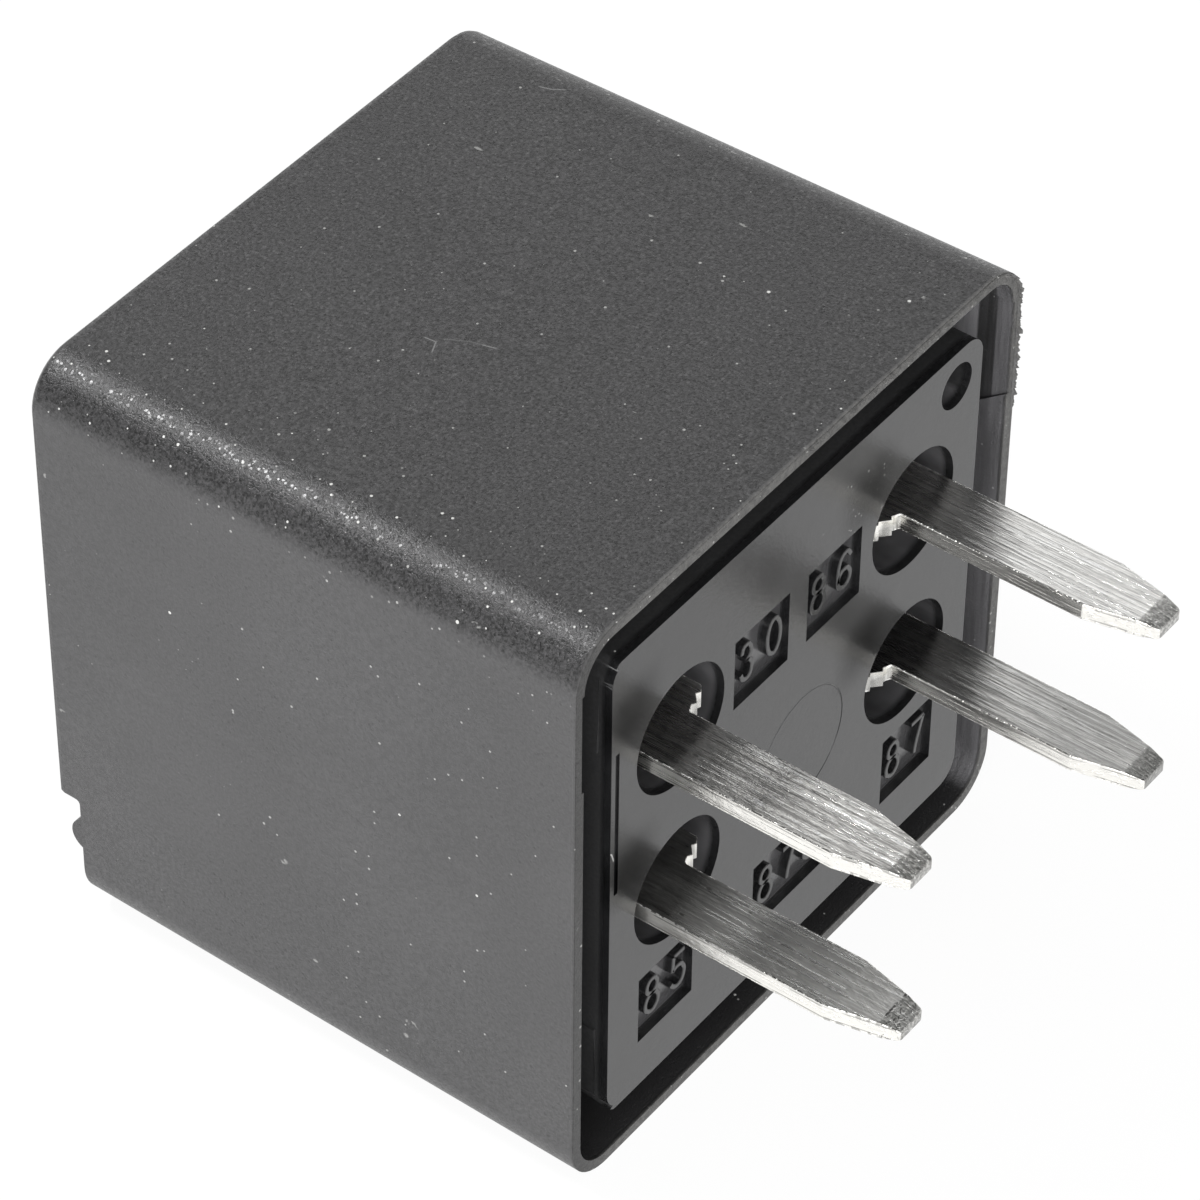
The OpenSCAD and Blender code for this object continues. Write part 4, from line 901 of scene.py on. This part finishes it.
class RELAY_OT_contacts(bpy.types.Operator):
    """Makes the contact leaf, contacts, rivets and braid"""

    bl_idname = "relay.contacts"
    bl_label = "Contacts"

    def execute(self, context):
        settings = context.scene.relay_inside
        bronze = metal_finish("spring_bronze", (0.62, 0.36, 0.16), 0.28, (9, 9, 0.5))
        silver = metal_finish("contact_silver", (0.82, 0.81, 0.77), 0.24, (3, 3, 3))
        brass = metal_finish("rivet_brass", (0.6, 0.42, 0.18), 0.26, (3, 3, 3))
        finished("contact_leaf", settings.edge / 2, bronze, "armature")
        finished("moving_contact", settings.edge, silver, "armature")
        finished("fixed_contact", settings.edge, silver)
        finished("leaf_rivets", settings.edge, brass, "armature")
        finished("tab_rivets", settings.edge, brass)
        finished("braid", 0, braid_finish())
        return {"FINISHED"}


# ---------------------------------------------------------------- studio


def add_lamp(name, power, size, place, target):
    lamp = bpy.data.lights.new(name, "AREA")
    lamp.energy = power
    lamp.shape = "RECTANGLE"
    lamp.size, lamp.size_y = size
    holder = bpy.data.objects.new(name, lamp)
    bpy.context.scene.collection.objects.link(holder)
    holder.location = place
    holder.rotation_euler = (Vector(target) - Vector(place)).to_track_quat("-Z", "Y").to_euler()


def floor_finish(tint):
    """A floor that the camera and mirrors see as white, and that still shows the relay's shadow."""
    finish = Finish("studio_floor", Roughness=0.9)
    paper = finish.noise(0.02, 2)
    finish.colour(finish.scaled(tuple(tint), paper.step(0.3, 0.7, 0.985, 1.0)))
    direct, mirrored = finish.seen()
    glow = finish.node("ShaderNodeEmission", {}, {"Color": (1, 1, 1), "Strength": 1.02})
    shaders = {0: direct.most(mirrored) * 0.9, 1: finish.shader.outputs[0], 2: glow.outputs[0]}
    blend = finish.node("ShaderNodeMixShader", {}, shaders)
    finish.feed(finish.tree.nodes["Material Output"].inputs["Surface"], blend.outputs[0])
    return finish.material


def sky(world, settings):
    """A white room for the camera and mirrors, dark high up and above the left, and softer as a light."""
    shading = Shading(world.node_tree)
    background = world.node_tree.nodes["Background"]
    background.inputs["Color"].default_value = (1, 1, 1, 1)
    toward = shading.node("ShaderNodeTexCoord").outputs["Generated"]
    _, across, up = shading.parts(toward)
    dark = (up - across.step(-0.45, 0.3, settings.flag_low, settings.flag_high)).step(-0.07, 0.07)
    direct, mirrored = shading.seen()
    room = (1 - dark * settings.flag) * mirrored + (1 - mirrored) * settings.sky
    shading.feed(background.inputs["Strength"], direct + (1 - direct) * room)


class RELAY_OT_studio(bpy.types.Operator):
    """Sets up the floor, lamps, surroundings and camera"""

    bl_idname = "relay.studio"
    bl_label = "Studio"

    def execute(self, context):
        settings = context.scene.relay_studio
        scene = context.scene
        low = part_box("cover")[0].z
        work = bmesh.new()
        bmesh.ops.create_grid(work, x_segments=8, y_segments=8, size=1.2)
        mesh = bpy.data.meshes.new("studio_floor")
        work.to_mesh(mesh)
        work.free()
        floor = bpy.data.objects.new("studio_floor", mesh)
        scene.collection.objects.link(floor)
        floor.location.z = low - 0.02 * MM
        mesh.materials.append(floor_finish(settings.floor))

        world = bpy.data.worlds.new("studio_sky")
        scene.world = world
        world.use_nodes = True
        sky(world, settings)

        add_lamp("front_lamp", settings.key, (0.3, 0.26), (0.28, -0.1, 0.12), (0, 0, 0))
        add_lamp("side_lamp", settings.fill, (0.34, 0.26), (0.12, -0.28, 0.12), (-0.01, 0, 0))
        add_lamp("top_lamp", settings.top, (0.05, 0.035), (-0.115, -0.05, 0.17), (-0.015, -0.012, 0.014))

        camera = bpy.data.cameras.new("camera")
        camera.lens = settings.lens
        camera.sensor_width = 36
        camera.clip_start = 0.01
        holder = bpy.data.objects.new("camera", camera)
        scene.collection.objects.link(holder)
        axes = Matrix(((0.8002, -0.4138, 0.4341), (0.5997, 0.5419, -0.5889), (0.0084, 0.7315, 0.6817)))
        holder.matrix_world = Matrix.Translation((0.08707, -0.13075, 0.15259)) @ axes.to_4x4()
        scene.camera = holder
        scene.view_settings.view_transform = "Standard"
        return {"FINISHED"}


# ---------------------------------------------------------------- add-on

SETTINGS = {"relay_shell": ShellSettings, "relay_numbers": NumberSettings, "relay_terminals": TerminalSettings,
            "relay_inside": InsideSettings, "relay_studio": StudioSettings}
STEPS = (RELAY_OT_cover, RELAY_OT_flash, RELAY_OT_base, RELAY_OT_numbers, RELAY_OT_terminals, RELAY_OT_magnet,
         RELAY_OT_coil, RELAY_OT_contacts, RELAY_OT_studio)


class RELAY_PT_sidebar(bpy.types.Panel):
    """Lists the relay's steps and settings"""

    bl_idname = "RELAY_PT_sidebar"
    bl_label = "Plug-in Relay"
    bl_space_type = "VIEW_3D"
    bl_region_type = "UI"
    bl_category = "Relay"

    def draw(self, context):
        for step in STEPS:
            self.layout.operator(step.bl_idname)
        for name, group in SETTINGS.items():
            box = self.layout.box()
            box.label(text=group.__doc__)
            for prop in group.__annotations__:
                box.prop(getattr(context.scene, name), prop)


CLASSES = (*SETTINGS.values(), *STEPS, RELAY_PT_sidebar)


def register():
    for item in CLASSES:
        bpy.utils.register_class(item)
    for name, group in SETTINGS.items():
        setattr(bpy.types.Scene, name, bpy.props.PointerProperty(type=group))


def unregister():
    for name in SETTINGS:
        delattr(bpy.types.Scene, name)
    for item in reversed(CLASSES):
        bpy.utils.unregister_class(item)


def main():
    register()
    for step in STEPS:
        family, name = step.bl_idname.split(".")
        if getattr(getattr(bpy.ops, family), name)() != {"FINISHED"}:
            raise RuntimeError(f"{step.bl_idname} did not finish")


if __name__ == "__main__":
    main()
